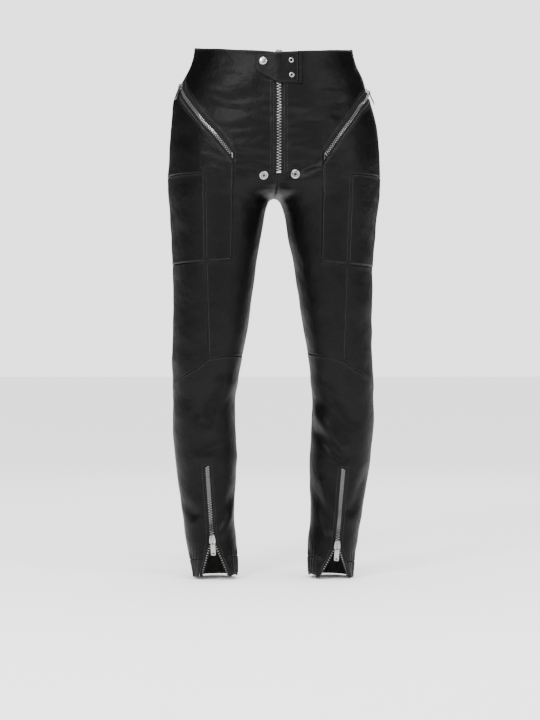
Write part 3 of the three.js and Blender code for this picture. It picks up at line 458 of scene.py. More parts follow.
# Smaller creases, in front of the knees, at the hips and above the ankles. Same columns as FOLDS.
CREASES = [
    [-1, 12, -205, 60, -198, 5, 0.9],
    [-1, 14, -222, 66, -214, 5, -0.9],
    [-1, -14, -214, -70, -206, 6, 0.9],
    [-1, 14, -276, 96, -246, 6, 1.3],
    [-1, 20, -300, 84, -268, 6, -1.4],
    [-1, 28, -312, 92, -296, 6, 1.2],
    [-1, -14, -300, -84, -316, 6, -1.4],
    [-1, -16, -318, -80, -340, 7, 1.2],
    [-1, -100, -650, -150, -690, 6, 1.2],
    [-1, -88, -690, -118, -742, 6, -1.3],
    [-1, 90, -668, 140, -702, 6, 1.2],
    [-1, 84, -700, 140, -752, 6, -1.3],
    [-1, -86, -930, -120, -974, 6, 1.4],
    [-1, -150, -930, -172, -950, 6, 1.2],
    [-1, 84, -930, 106, -984, 6, 1.4],
    [-1, 140, -930, 164, -950, 6, 1.2],
    [-1, -20, -258, 6, -268, 5, -3.4],
    [-1, 6, -268, 30, -256, 5, -3.4],
    [-1, 30, -256, 84, -232, 6, -2.0],
    [-1, -30, -278, 4, -272, 5, 1.2],
    [-1, -62, -84, -140, -96, 5, 0.8],
    [-1, -46, -112, -128, -118, 5, -0.8],
    [-1, -40, -176, -92, -180, 5, 0.8],
    [-1, 40, -86, 120, -92, 5, 0.7],
    [-1, 34, -140, 124, -132, 5, -0.9],
    [-1, 30, -182, 96, -176, 5, 0.8],
    [-1, -28, -350, -44, -440, 6, -1.0],
    [-1, 34, -340, 52, -430, 6, 1.0],
    [-1, -100, -780, -150, -800, 5, 1.2],
    [-1, -110, -850, -160, -866, 5, -1.0],
    [-1, 96, -800, 140, -840, 5, 1.2],
    [-1, 110, -820, 168, -846, 5, -1.0],
]
# depth of the faint waves and of the drag lines as shares of their length
WAVE_DEPTH, DRAG_DEPTH = 0.0026, 0.030
rng = np.random.default_rng(7)
# Fine drag lines across the front of the hips: spacing, rise to the side, phase
DRAG_LINES = [(9, 0.10, 0.4), (13, -0.06, 2.1), (19, 0.16, 4.0), (28, 0.05, 5.2)]
WAVES = [
    (rng.normal(size=3), wave, rng.uniform(0, 2 * np.pi))
    for wave in np.geomspace(26, 110, 16)
]


def creases(points):
    """Height of the small creases: their depth times their weight, shallower towards their ends,
    sixteen faint sine waves in random directions, and the drag lines."""
    x, y, z = np.moveaxis(points, -1, 0)
    _, _, cy, b = leg_shape(np.where(x < 0, -1, 1), section_at(z))
    total = np.zeros_like(x)
    for crease in CREASES:
        weight, t = fold_weight(crease, x, y, z, cy, b)
        total += crease[-1] * (0.35 + 0.65 * np.sin(np.pi * t)) * weight
    for direction, wave, phase in WAVES:
        k = direction / np.linalg.norm(direction) * 2 * np.pi / wave
        total += WAVE_DEPTH * wave * np.sin(points @ k + phase)
    hips = np.clip((z + 290) / 60, 0, 1) * np.clip((-40 - z) / 40, 0, 1) * np.clip(-y / 60, 0, 1)
    hips *= np.clip((170 - np.abs(x)) / 50, 0, 1)
    for wave, rise, phase in DRAG_LINES:
        height = z - rise * np.abs(x) + 5 * np.sin(x / 37 + phase)
        ripple = np.sin(2 * np.pi * height / wave + phase) * np.sin(x / 29 + 2 * phase)
        total += DRAG_DEPTH * wave * hips * ripple
    return total


CUFF_GATHER = 1.1
GATHER_PITCH = 9.0
# how far the gathers reach above the cuff seam, how far from the ankle zip they start, and how much
# further on they are full
GATHER_REACH, CALM_START, CALM_WIDTH = 16, 6, 18


def gathers(leg):
    """Height of the gathers at the cuff: sine waves round the leg that are a third lower right at the
    cuff seam and fade out above it and towards the ankle zip."""
    points, rows, columns = leg["points"], leg["rows"], leg["columns"]
    ring = points[rows["cuff"]]
    around = run_of(ring)
    above = points[..., 2] - ring[None, :, 2]
    fade = np.exp(-(np.maximum(above, 0) / GATHER_REACH) ** 2)
    fade *= 1 - 0.35 * np.exp(-(above / 4) ** 2)
    zip_left, zip_right = around[columns[3]], around[columns[4]]
    apart = np.minimum(np.abs(around - zip_left), np.abs(around - zip_right))
    calm = np.clip((apart - CALM_START) / CALM_WIDTH, 0, 1)
    wave = np.sin(2 * np.pi * around / GATHER_PITCH + 1.3 * np.sin(around / 23))
    wave = wave * (0.75 + 0.25 * np.sin(around / 11 + 1))
    return CUFF_GATHER * fade * (calm * wave)[None, :]


for leg in legs:
    detail = creases(leg["points"]) + gathers(leg)
    leg["shape"] = leg["points"] + leg["normals"] * detail[..., None]
    leg["placed"] = leg["shape"].copy()


class Value:
    """A shader socket that takes part in arithmetic. Each operator adds the Math node for it."""

    def __init__(self, tree, socket):
        self.tree, self.socket = tree, socket

    def math(self, operation, first, second):
        node = self.tree.nodes.new("ShaderNodeMath")
        node.operation = operation
        for slot, item in enumerate((first, second)):
            if isinstance(item, Value):
                self.tree.links.new(item.socket, node.inputs[slot])
            else:
                node.inputs[slot].default_value = item
        return Value(self.tree, node.outputs[0])

    def __add__(self, other):
        return self.math("ADD", self, other)

    def __radd__(self, other):
        return self.math("ADD", other, self)

    def __sub__(self, other):
        return self.math("SUBTRACT", self, other)

    def __rsub__(self, other):
        return self.math("SUBTRACT", other, self)

    def __mul__(self, other):
        return self.math("MULTIPLY", self, other)

    def __rmul__(self, other):
        return self.math("MULTIPLY", other, self)

    def __pow__(self, other):
        return self.math("POWER", self, other)


def add_node(tree, kind, settings, inputs, output=0):
    """Adds a node: first its settings, then the values or links of its sockets. Returns one of its
    outputs."""
    node = tree.nodes.new(kind)
    for key, value in settings.items():
        setattr(node, key, value)
    for key, value in inputs.items():
        if isinstance(value, Value):
            tree.links.new(value.socket, node.inputs[key])
        else:
            node.inputs[key].default_value = value
    return Value(tree, node.outputs[output])


class Finish:
    """A material with one Principled shader, built up node by node."""

    def __init__(self, name, **fixed):
        self.material = bpy.data.materials.new(name)
        self.material.use_nodes = True
        self.tree = self.material.node_tree
        self.tree.nodes.clear()
        self.shader = self.tree.nodes.new("ShaderNodeBsdfPrincipled")
        end = self.tree.nodes.new("ShaderNodeOutputMaterial")
        self.tree.links.new(self.shader.outputs[0], end.inputs[0])
        for socket, value in fixed.items():
            self.shader.inputs[socket.replace("_", " ")].default_value = value

    def node(self, kind, settings, inputs, output=0):
        return add_node(self.tree, kind, settings, inputs, output)

    def set(self, **varying):
        """Links values that change over the surface to the shader's sockets."""
        for socket, value in varying.items():
            self.tree.links.new(value.socket, self.shader.inputs[socket.replace("_", " ")])

    def place(self):
        return self.node("ShaderNodeTexCoord", {}, {}, 3)

    def noise(self, scale, detail, rough=0.5):
        inputs = {"Vector": self.place(), "Scale": scale, "Detail": detail, "Roughness": rough}
        return self.node("ShaderNodeTexNoise", {}, inputs)

    def mix(self, share, first, second):
        """Colour between two others. Each of them is a triple or a socket."""
        settings = {"data_type": "RGBA"}
        pair = {6: first, 7: second}
        inputs = {k: v if isinstance(v, Value) else (*v, 1) for k, v in pair.items()}
        return self.node("ShaderNodeMix", settings, {0: share, **inputs}, 2)

    def bump(self, height, distance, strength):
        inputs = {"Height": height, "Distance": distance, "Strength": strength}
        return self.node("ShaderNodeBump", {}, inputs)


LEATHER_DARK = (0.0005, 0.0005, 0.0005)
LEATHER_LIGHT = (0.0015, 0.0015, 0.0014)
LEATHER_WORN = (0.005, 0.0049, 0.0048)


def leather_finish():
    """Outer face: near black, slightly mottled, paler where seams rub, with pebbled grain cells a
    millimetre across, fine pores, and a satin gloss that varies in soft patches."""
    finish = Finish("soft_black_leather", IOR=1.45, Specular_IOR_Level=0.15)
    edge = finish.node("ShaderNodeAttribute", {"attribute_name": "seam"}, {}, 2)
    patches = finish.noise(14, 3, 0.55)
    mottle = finish.noise(120, 3, 0.6)
    cells = finish.node("ShaderNodeTexVoronoi", {"feature": "SMOOTH_F1"},
                        {"Vector": finish.place(), "Scale": 850, "Smoothness": 0.35, "Randomness": 0.9})
    pores = finish.noise(2600, 2, 0.6)
    lines = finish.noise(420, 4, 0.65)
    rumples = finish.noise(70, 4, 0.6)
    colour = finish.mix(patches * 0.6 + mottle * 0.4, LEATHER_DARK, LEATHER_LIGHT)
    colour = finish.mix(edge * mottle, colour, LEATHER_WORN)
    finish.set(Base_Color=colour)
    finish.set(Roughness=0.32 + patches * 0.12 + mottle * 0.08 + cells * 0.06 + edge * 0.08)
    height = cells * -0.15 + pores * 0.04 + lines * 0.5 + rumples * 2.2
    finish.set(Normal=finish.bump(height, 0.0008, 0.8))
    return finish.material


def suede_finish():
    """Inner face: matt grey-black flesh side with a short nap."""
    finish = Finish("leather_flesh_side", Sheen_Weight=0.15, Sheen_Roughness=0.5)
    nap = finish.noise(1500, 4, 0.7)
    finish.set(Base_Color=finish.mix(nap, (0.010, 0.0095, 0.009), (0.030, 0.028, 0.026)))
    finish.set(Roughness=0.85 + nap * 0.12, Normal=finish.bump(nap, 0.0003, 0.5))
    return finish.material


LEATHER = leather_finish()
SUEDE = suede_finish()


def add_object(name, data):
    """A named object in the scene, made of a mesh, a lamp or a camera."""
    thing = bpy.data.objects.new(name, data)
    bpy.context.scene.collection.objects.link(thing)
    return thing


def store(thing, name, values):
    """A number for each point of the mesh, which its material reads."""
    attribute = thing.data.attributes.new(name, "FLOAT", "POINT")
    attribute.data.foreach_set("value", np.asarray(values).astype(np.float32))


def dress(thing, slot, body, *nodes):
    """Ties a piece to its body and hides the solids that it takes the place of. The slot is not used."""
    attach(thing, body)
    if nodes:
        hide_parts(*nodes)


def add_quads(name, points, quads, materials, slots=None, crease=0.9):
    """A mesh object from points in millimetres and four-cornered faces, smooth but for its edges."""
    mesh = bpy.data.meshes.new(name)
    mesh.vertices.add(len(points))
    mesh.vertices.foreach_set("co", (np.asarray(points) * MM).astype(np.float32).ravel())
    mesh.loops.add(quads.size)
    mesh.loops.foreach_set("vertex_index", quads.astype(np.int32).ravel())
    mesh.polygons.add(len(quads))
    mesh.polygons.foreach_set("loop_start", np.arange(0, quads.size, 4, dtype=np.int32))
    for material in materials:
        mesh.materials.append(material)
    if slots is not None:
        mesh.polygons.foreach_set("material_index", slots.astype(np.int32))
    mesh.update(calc_edges=True)
    mesh.polygons.foreach_set("use_smooth", np.ones(len(quads), bool))
    mesh.set_sharp_from_angle(angle=crease)
    return add_object(name, mesh)


def slab(outer, inner, mask, flip):
    """Points and faces of a closed slab between two grids, over the cells in mask: outer faces, inner
    faces and a wall along every open edge. Also tells which faces are outer ones and which points
    are used."""
    used = np.zeros(outer.shape[:2], bool)
    for r, c in ((0, 0), (1, 0), (1, 1), (0, 1)):
        used[r:used.shape[0] - 1 + r, c:used.shape[1] - 1 + c] |= mask
    ids = np.full(used.shape, -1)
    ids[used] = np.arange(used.sum())
    count = int(used.sum())
    i, j = np.nonzero(mask)
    top = np.stack([ids[i, j], ids[i + 1, j], ids[i + 1, j + 1], ids[i, j + 1]], axis=1)
    padded = np.pad(mask, 1)
    walls = []
    for (di, dj), (a, b) in {(0, -1): (0, 1), (1, 0): (1, 2), (0, 1): (2, 3), (-1, 0): (3, 0)}.items():
        open_side = ~padded[i + 1 + di, j + 1 + dj]
        u, v = top[open_side, a], top[open_side, b]
        walls.append(np.stack([v, u, u + count, v + count], axis=1))
    walls = np.concatenate(walls)
    quads = np.concatenate([top, top[:, ::-1] + count, walls])
    if flip:
        quads = quads[:, ::-1]
    points = np.concatenate([outer[used], inner[used]])
    kinds = np.repeat([0, 1, 2], [len(top), len(top), len(walls)])
    return points, quads, kinds, used


# depth and width of the dip at a seam, height, place and width of the roll beside it
SEAM_DIP, DIP_WIDTH = 0.95, 1.1
SEAM_ROLL, ROLL_PLACE, ROLL_WIDTH = 0.35, 3.2, 2.0
# how far a piece draws back from its seam, and how far from it the leather is rubbed
SEAM_CLEAR, SEAM_RUB = 0.07, 2.5


def distance_to(points, edge):
    """Distance from each point to the nearest of the edge's points, in blocks of two thousand."""
    blocks = [
        np.sqrt(((block[:, None] - edge[None]) ** 2).sum(axis=2).min(axis=1))
        for block in np.array_split(points, max(1, len(points) // 2000))
    ]
    return np.concatenate(blocks)


def cut_size(points, mask):
    """Width, length and area of the flat piece, in metres: the longest way across the cells in mask,
    the longest way down them, and the sum of their areas."""
    across = np.linalg.norm(np.diff(points, axis=1), axis=2)
    down = np.linalg.norm(np.diff(points, axis=0), axis=2)
    width = (across[:-1] * mask).sum(axis=1).max()
    length = (down[:, :-1] * mask).sum(axis=0).max()
    diagonals = points[1:, 1:] - points[:-1, :-1], points[1:, :-1] - points[:-1, 1:]
    area = (np.linalg.norm(np.cross(*diagonals), axis=2) / 2 * mask).sum()
    return width * MM, length * MM, area * MM * MM


def add_panel(kind, leg, blocks, high=0.0):
    """One cut piece. Each of its blocks lies between two round seams and between two down seams. Its
    edges draw back a little from the seam and roll down into it."""
    name = f"{kind}_{leg['name']}"
    rows, columns = np.meshgrid(leg["row_cell"], leg["column_cell"], indexing="ij")
    mask = np.zeros(rows.shape, bool)
    for start, end, first, last in blocks:
        ring = (rows >= leg["row_of"][start]) & (rows < leg["row_of"][end])
        mask |= ring & (columns >= first) & (columns < last)
    shape, normals = leg["shape"], leg["normals"]
    pull = np.zeros_like(shape)
    tangents = [np.gradient(shape, axis=axis) for axis in (0, 1)]
    tangents = [t / np.maximum(np.linalg.norm(t, axis=2, keepdims=True), 1e-9) for t in tangents]
    padded = np.pad(mask, 1)
    around = {(-1, 0): 1, (1, 0): -1, (0, -1): 1, (0, 1): -1}
    edge = np.zeros(shape.shape[:2], bool)
    for (di, dj), sign in around.items():
        i, j = np.nonzero(mask & ~padded[1 + di:, 1 + dj:][:mask.shape[0], :mask.shape[1]])
        i, j = i + (di > 0), j + (dj > 0)
        ends = ((i, j), (i, j + 1)) if di else ((i, j), (i + 1, j))
        moved = np.zeros(shape.shape[:2], bool)
        for spot in ends:
            moved[spot] = True
        pull[moved] += sign * tangents[0 if di else 1][moved]
        edge |= moved
    _, quads, kinds, used = slab(shape, shape, mask, leg["side"] < 0)
    away = np.full(shape.shape[:2], 99.0)
    away[used] = distance_to(shape[used], shape[edge])
    roll = SEAM_ROLL * np.exp(-((away - ROLL_PLACE) / ROLL_WIDTH) ** 2)
    roll -= SEAM_DIP * np.exp(-(away / DIP_WIDTH) ** 2)
    place = shape + SEAM_CLEAR * pull
    outer = place + normals * (high + roll)[..., None]
    inner = place - normals * WALL
    leg["placed"][used & ~edge] = outer[used & ~edge]
    points = np.concatenate([outer[used], inner[used]])
    thing = add_quads(f"{name}_leather", points, quads, [LEATHER, SUEDE], (kinds > 0).astype(int))
    store(thing, "seam", np.tile(np.exp(-away[used] / SEAM_RUB), 2))
    width, length, area = cut_size(shape, mask)
    dress(thing, "leather", "trousers", name)


FLY, POCKET, LINE, OUTER, EDGE, BACK = MARKS[1:]
for leg in legs:
    add_panel("front_panel", leg, [
        ("waist", "slot_top", FLY, EDGE), ("slot_top", "pocket_top", FLY, POCKET),
        ("pocket_top", "pocket_foot", 0, POCKET), ("pocket_foot", "knee", 0, LINE),
    ])

# Hip and side pockets: patches of the same leather sewn on top, so that they stand a millimetre
# proud. The hip pocket turns the corner under the slanting zip.
PATCH_RAISE = 1.0
for leg in legs:
    add_panel("hip_pocket", leg, [
        ("slot_foot", "pocket_top", POCKET, EDGE), ("pocket_top", "pocket_foot", POCKET, LINE),
    ], PATCH_RAISE)
    add_panel("side_pocket", leg, [("pocket_top", "pocket_foot", LINE, EDGE)], PATCH_RAISE)

# Side panels: a narrow piece on the outer thigh between the pocket and the knee seam.
for leg in legs:
    add_panel("side_panel", leg, [("pocket_foot", "knee", LINE, EDGE)])

# Seat and back thigh panels: the back from the waist to the knee, joined by the centre back seam and
# by the thigh seam, which runs on round the leg from the foot of the pockets.
for leg in legs:
    add_panel("seat_panel", leg, [("waist", "pocket_foot", EDGE, BACK)])
    add_panel("thigh_panel", leg, [("pocket_foot", "knee", EDGE, BACK)])

# Shin panels: from the knee seam to the cuff, slit for the ankle zip.
for leg in legs:
    add_panel("shin_panel", leg, [
        ("knee", "ankle_slot", 0, EDGE), ("ankle_slot", "cuff", 0, LINE),
        ("ankle_slot", "cuff", OUTER, EDGE),
    ])

# Calf panels: the back of the lower leg, from the knee seam to the cuff.
for leg in legs:
    add_panel("calf_panel", leg, [("knee", "cuff", EDGE, BACK)])

# Cuffs: gathered bands sewn to the leg ends, one part on each side of the ankle zip.
CUFF_RAISE = 0.6
for leg in legs:
    add_panel("cuff_inner", leg, [("cuff", "hem", 0, LINE)], CUFF_RAISE)
    add_panel("cuff_outer", leg, [("cuff", "hem", OUTER, BACK)], CUFF_RAISE)

# Slanting pocket zips: a black woven tape fills the slot, two rows of nickel teeth lie locked along
# its middle, and a nickel stop holds the lower end.
SIDE_CHAIN_WIDTH = 6.5
TAPE_FOOT = -1.5
TEETH_FOOT = -0.35
TEETH_TOP = 1.15
SIDE_TOOTH_PITCH = 4.4
SIDE_ZIP_ENDS = (9.0, 13.0)
TAPE_GAP = 0.25
# heights of a tape's face from its sewn edge to its middle, and the lines across it where they hold
TAPE_TOPS = [-0.95, -0.7, -0.5, -0.45, -0.5]
WHOLE_TAPE, HALF_TAPE = [0.1, 0.25, 0.5, 0.75, 0.9], [0, 0.15, 0.4, 0.7, 1]


def nickel_finish(name, dark, bright, by_rise=False):
    """Nickel plate: faint cloudy gloss, fine rub marks and small dents. On teeth it is darker towards
    the foot of each tooth."""
    finish = Finish(name, Metallic=1.0)
    cloud = finish.noise(260, 3, 0.6)
    rub = finish.noise(3200, 2, 0.7)
    share = cloud
    if by_rise:
        rise = finish.node("ShaderNodeAttribute", {"attribute_name": "rise"}, {}, 2)
        share = (rise ** 4) * 0.85 + cloud * 0.15
    finish.set(Base_Color=finish.mix(share, dark, bright))
    finish.set(Roughness=0.2 + cloud * 0.14 + rub * 0.06)
    finish.set(Normal=finish.bump(rub * 0.5 + cloud, 0.0001, 0.25))
    return finish.material


def tape_finish():
    """Black polyester tape: fine ribs along it crossed by the weft, read from the tape's own map."""
    finish = Finish("woven_zip_tape", Specular_IOR_Level=0.2)
    uv = finish.node("ShaderNodeTexCoord", {}, {}, 2)
    across, along = [finish.node("ShaderNodeSeparateXYZ", {}, {"Vector": uv}, k) for k in (0, 1)]
    ribs = finish.node("ShaderNodeMath", {"operation": "SINE"}, {0: across * 11000.0})
    weft = finish.node("ShaderNodeMath", {"operation": "SINE"}, {0: along * 9000.0 + across * 5500.0})
    weave = ribs * 0.5 + weft * 0.5
    worn = finish.noise(700, 3, 0.6)
    share = weave * 0.3 + worn * 0.5
    finish.set(Base_Color=finish.mix(share, (0.0020, 0.0020, 0.0022), (0.009, 0.009, 0.0095)))
    finish.set(Roughness=0.78 + worn * 0.15, Normal=finish.bump(weave, 0.00015, 0.6))
    return finish.material


NICKEL = nickel_finish("nickel_plate", (0.30, 0.295, 0.29), (0.55, 0.545, 0.53))
TEETH = nickel_finish("nickel_teeth", (0.03, 0.03, 0.03), (0.70, 0.695, 0.68), True)
SMALL_TEETH = nickel_finish("nickel_small_teeth", (0.008, 0.008, 0.008), (0.62, 0.615, 0.60), True)
# darker plate for the side walls of the castings: painted shade on their sides
NICKEL_SIDE_SHADE = nickel_finish("nickel_painted_side_shade", (0.10, 0.098, 0.095), (0.20, 0.198, 0.19))
# near black plate for the middles and grooves of the lower snaps: painted shade in the recesses
NICKEL_RECESS_SHADE = nickel_finish("nickel_painted_recess_shade", (0.015, 0.015, 0.015), (0.06, 0.058, 0.055))
TAPE = tape_finish()
# distance ahead and behind between which a path's direction is read
NEARBY = 1.5


def along_path(points, normals, places):
    """Position, forward, outward and sideways directions at distances along a path."""
    length = run_of(points)

    def at(values, s):
        return np.stack([np.interp(s, length, values[:, k]) for k in range(3)], axis=1)

    ahead = unit(at(points, places + NEARBY) - at(points, places - NEARBY))
    side = unit(np.cross(ahead, at(normals, places)))
    return at(points, places), ahead, np.cross(side, ahead), side


def repeat(shape, faces, origins, xs, ys, zs):
    """Copies of a small shape, each turned to its own three directions and moved to its place."""
    points = (
        origins[:, None]
        + shape[None, :, 0:1] * xs[:, None]
        + shape[None, :, 1:2] * ys[:, None]
        + shape[None, :, 2:3] * zs[:, None]
    )
    offsets = (np.arange(len(origins)) * len(shape))[:, None, None]
    return points.reshape(-1, 3), (faces[None] + offsets).reshape(-1, 4)


# place as a share of the row's width, width share, height share
TOOTH_STATIONS = [
    (-0.2, 0.5, 0.55), (0.05, 1.0, 0.8), (0.3, 0.72, 0.78), (0.45, 1.0, 1.0), (1.0, 0.92, 0.72),
]
TOOTH_PROFILE = np.array([(-0.5, 0), (0.5, 0), (0.5, 0.55), (0.25, 1), (-0.25, 1), (-0.5, 0.55)])


TOOTH_CAPS = [[0, 5, 2, 1], [5, 4, 3, 2], [24, 25, 26, 29], [29, 26, 27, 28]]
TOOTH_SHARE = 0.44


def loft(shape, sides, caps):
    """The points of a row of sections, with the faces that join each one to the next and the caps."""
    k = np.arange(sides)
    near = np.arange(0, len(shape) - sides, sides)[:, None]
    after, far = (k + 1) % sides, near + sides
    rings = np.stack([near + k, near + after, far + after, far + k], axis=-1)
    return shape, np.concatenate([rings.reshape(-1, 4), caps])


def tooth(reach, thick, low, high):
    """One zip tooth, from its head past the middle to its foot on the tape: five six-sided sections
    across the zip, joined by faces and closed at both ends."""
    shape = np.array([
        (place * reach, u * width * thick, low + v * tall * (high - low))
        for place, width, tall in TOOTH_STATIONS for u, v in TOOTH_PROFILE
    ])
    return loft(shape, 6, TOOTH_CAPS)


def row_of_teeth(edge, normals, start, end, pitch, reach, low, high, towards_tape):
    """Teeth along one row. edge is the line where the two rows meet and towards_tape is 1 or -1 for
    the side on which the row's tape lies. A tooth takes up less than half of the pitch."""
    places = np.arange(start, end, pitch)
    spot, ahead, up, side = along_path(edge, normals, places)
    shape, faces = tooth(reach, TOOTH_SHARE * pitch, low, high)
    if towards_tape > 0:
        faces = faces[:, ::-1]
    return repeat(shape, faces, spot, towards_tape * side, ahead, up)


def join(parts):
    """Several lists of points and faces as one."""
    points, faces, count = [], [], 0
    for some, quads in parts:
        points.append(some)
        faces.append(quads + count)
        count += len(some)
    return np.concatenate(points), np.concatenate(faces)


def add_teeth(name, rows, node, finish):
    """Rows of teeth as one piece. Its attribute tells how high each point stands on its tooth."""
    points, quads = join(rows)
    thing = add_quads(name, points, quads, [finish], crease=0.6)
    rise = np.array([tall * v for _, _, tall in TOOTH_STATIONS for _, v in TOOTH_PROFILE])
    store(thing, "rise", np.tile(rise, len(points) // len(rise)))
    dress(thing, "metal", "trousers", node)


def add_tape(name, left, right, normals, shares, tops, flip):
    """A woven tape between two edges: lines at shares of the width, at the given heights over the
    leather's surface, with a flat underside."""
    t = np.array(shares)[None, :, None]
    line = left[:, None] * (1 - t) + right[:, None] * t
    top = line + normals[:, None] * np.array(tops)[None, :, None]
    foot = line + normals[:, None] * TAPE_FOOT
    mask = np.ones((line.shape[0] - 1, line.shape[1] - 1), bool)
    points, quads, _, _ = slab(top, foot, mask, flip)
    thing = add_quads(f"{name}_woven", points, quads, [TAPE])
    run = run_of(line[:, 0])
    width = np.linalg.norm(line[:, -1] - line[:, 0], axis=1)
    u = (t[..., 0] * width[:, None] * MM).ravel()
    v = np.broadcast_to(run[:, None] * MM, line.shape[:2]).ravel()
    flat = np.stack([np.tile(u, 2), np.tile(v, 2)], axis=1)[quads.ravel()]
    layer = thing.data.uv_layers.new(name="tape")
    layer.data.foreach_set("uv", flat.astype(np.float32).ravel())
    dress(thing, "tape", "trousers", name)


def closed_zip(name, left, right, normals, chain_width, pitch, ends, flip):
    """A closed zip in a slot between two edges: its tape and both rows of teeth, which start and end
    at the distances in ends from those of the slot."""
    start, end = ends
    gap = TAPE_GAP / np.linalg.norm(right - left, axis=1).min()
    tops = TAPE_TOPS + TAPE_TOPS[1::-1]
    add_tape(f"{name}_tape", left, right, normals, [gap, *WHOLE_TAPE, 1 - gap], tops, flip)
    middle = (left + right) / 2
    total = run_of(middle)[-1]
    rows = [
        row_of_teeth(middle, normals, start + k * pitch / 2, total - end, pitch, chain_width / 2,
                     TEETH_FOOT, TEETH_TOP, sign)
        for k, sign in enumerate((1, -1))
    ]
    add_teeth(f"{name}_teeth", rows, f"{name}_chain", TEETH if pitch > 5 else SMALL_TEETH)


for leg in legs:
    top, foot = leg["rows"]["slot_top"], leg["rows"]["slot_foot"]
    span = slice(leg["columns"][2], leg["columns"][5] + 1)
    upper, lower = leg["points"][top, span], leg["points"][foot, span]
    normals = unit(leg["normals"][top, span] + leg["normals"][foot, span])
    closed_zip(f"side_zip_{leg['name']}", upper, lower, normals, SIDE_CHAIN_WIDTH, SIDE_TOOTH_PITCH,
               SIDE_ZIP_ENDS, leg["side"] > 0)

# Main zip: the same make, heavier, from the waist down to its stop at the foot of the fly.
MAIN_CHAIN_WIDTH = 8.6
MAIN_TOOTH_PITCH = 5.6
MAIN_ZIP_ENDS = (5.0, 2.0)
right_leg, left_leg = legs
span = slice(right_leg["rows"]["pocket_top"], None, -1)
fly_left, fly_right = [leg["points"][span, leg["columns"][1]] for leg in (left_leg, right_leg)]
fly_normals = unit(sum(leg["normals"][span, leg["columns"][1]] for leg in (left_leg, right_leg)))
closed_zip("main_zip", fly_left, fly_right, fly_normals, MAIN_CHAIN_WIDTH, MAIN_TOOTH_PITCH, MAIN_ZIP_ENDS,
           False)

# Ankle zips: two tapes with their rows of teeth, locked above the slider and spread below it.
LEAF_TAPE = 7.0
LEAF_CHAIN = 3.7
ANKLE_TOOTH_PITCH = 5.0
ANKLE_ZIP_ENDS = (2.5, 1.5)
for leg in legs:
    span = slice(leg["rows"]["ankle_slot"], leg["rows"]["hem"] + 1)
    closed = np.arange(span.start, span.stop) <= leg["rows"]["slider"]
    edges = {"inner": leg["columns"][3], "outer": leg["columns"][4]}
    for half, column in edges.items():
        other = edges["outer" if half == "inner" else "inner"]
        a, b = leg["points"][span, column], leg["points"][span, other]
        wide = np.linalg.norm(b - a, axis=1)
        width = np.where(closed, wide / 2 - 0.1, np.minimum(wide / 2 - 0.1, LEAF_TAPE))
        free = a + (b - a) * (width / wide)[:, None]
        near = a + (b - a) * (TAPE_GAP / wide)[:, None]
        normals = leg["normals"][span, column]
        sign = leg["side"] if half == "inner" else -leg["side"]
        piece = f"{half}_{leg['name']}"
        add_tape(f"ankle_zip_tape_{piece}", near, free, normals, HALF_TAPE, TAPE_TOPS, sign < 0)
        start = ANKLE_ZIP_ENDS[0] + (ANKLE_TOOTH_PITCH / 2 if half == "outer" else 0)
        row = row_of_teeth(free, normals, start, run_of(free)[-1] - ANKLE_ZIP_ENDS[1], ANKLE_TOOTH_PITCH,
                           LEAF_CHAIN, TEETH_FOOT, TEETH_TOP, sign)
        add_teeth(f"ankle_zip_teeth_{piece}", [row], f"ankle_zip_chain_{piece}", SMALL_TEETH)

# Sliders, pulls, stops, snaps and eyelets: nickel castings and pressings with softened edges, taken
# from the solids. Their side walls take a darker plate, painted shade, and the middles and grooves of
# the lower snaps a near black one, painted shade in the recesses.
EDGE_ROUND = 0.25
# the most that a side wall's normal leans towards the piece's axis
SIDE_WALL = 0.4
# distances from a lower snap's axis at the painted shade of its middle and of its groove
SNAP_DARK = [(-1, 2.9), (4.95, 5.95)]


def read(items, name):
    """The vectors that a mesh keeps under a name for its vertices or faces."""
    values = np.empty(len(items) * 3)
    items.foreach_get(name, values)
    return values.reshape(-1, 3)


def add_casting(node, body, dark_between=()):
    """A merged copy of a metal solid with bevelled edges. Side walls take a darker plate, painted
    shade on the sides. Faces whose distance from the axis, in millimetres, lies between two values of
    dark_between take a near black plate, painted shade in the recesses."""
    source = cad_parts[node]
    mesh = bpy.data.meshes.new(f"{node}_metal")
    shape = bmesh.new()
    shape.from_mesh(source.data)
    shape.transform(source.matrix_world)
    bmesh.ops.remove_doubles(shape, verts=shape.verts, dist=1e-6)
    if not dark_between:
        bmesh.ops.dissolve_limit(shape, angle_limit=0.02, verts=shape.verts, edges=shape.edges)
    bmesh.ops.recalc_face_normals(shape, faces=shape.faces)
    shape.to_mesh(mesh)
    shape.free()
    for material in (NICKEL, NICKEL_RECESS_SHADE, NICKEL_SIDE_SHADE):
        mesh.materials.append(material)
    corners = read(mesh.vertices, "co")
    middle = corners.mean(axis=0)
    axis = np.linalg.svd(corners - middle)[2][2]
    offset = read(mesh.polygons, "center") - middle
    far = np.linalg.norm(offset - (offset @ axis)[:, None] * axis, axis=1) / MM
    # side walls take slot 2, the darker plate: painted shade on the sides
    slots = np.where(np.abs(read(mesh.polygons, "normal") @ axis) < SIDE_WALL, 2, 0)
    # faces in the rings of dark_between take slot 1, the near black plate: painted shade in the recesses
    for low, high in dark_between:
        slots[(far > low) & (far < high)] = 1
    mesh.polygons.foreach_set("material_index", slots.astype(np.int32))
    mesh.polygons.foreach_set("use_smooth", np.ones(len(far), bool))
    mesh.set_sharp_from_angle(angle=0.6)
    thing = add_object(f"{node}_metal", mesh)
    bevel = thing.modifiers.new("soft_edges", "BEVEL")
    bevel.width, bevel.segments, bevel.limit_method = EDGE_ROUND * MM, 2, "ANGLE"
    bevel.angle_limit, bevel.harden_normals = 0.6, False
    dress(thing, "metal", body, node)


for node in sorted(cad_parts):
    if "lower_snap" in node:
        add_casting(node, "trousers", SNAP_DARK)
    elif any(word in node for word in ("slider", "stop", "snap", "eyelet")):
        add_casting(node, "trousers")
    elif "pull" in node:
        add_casting(node, f"{node}_body")

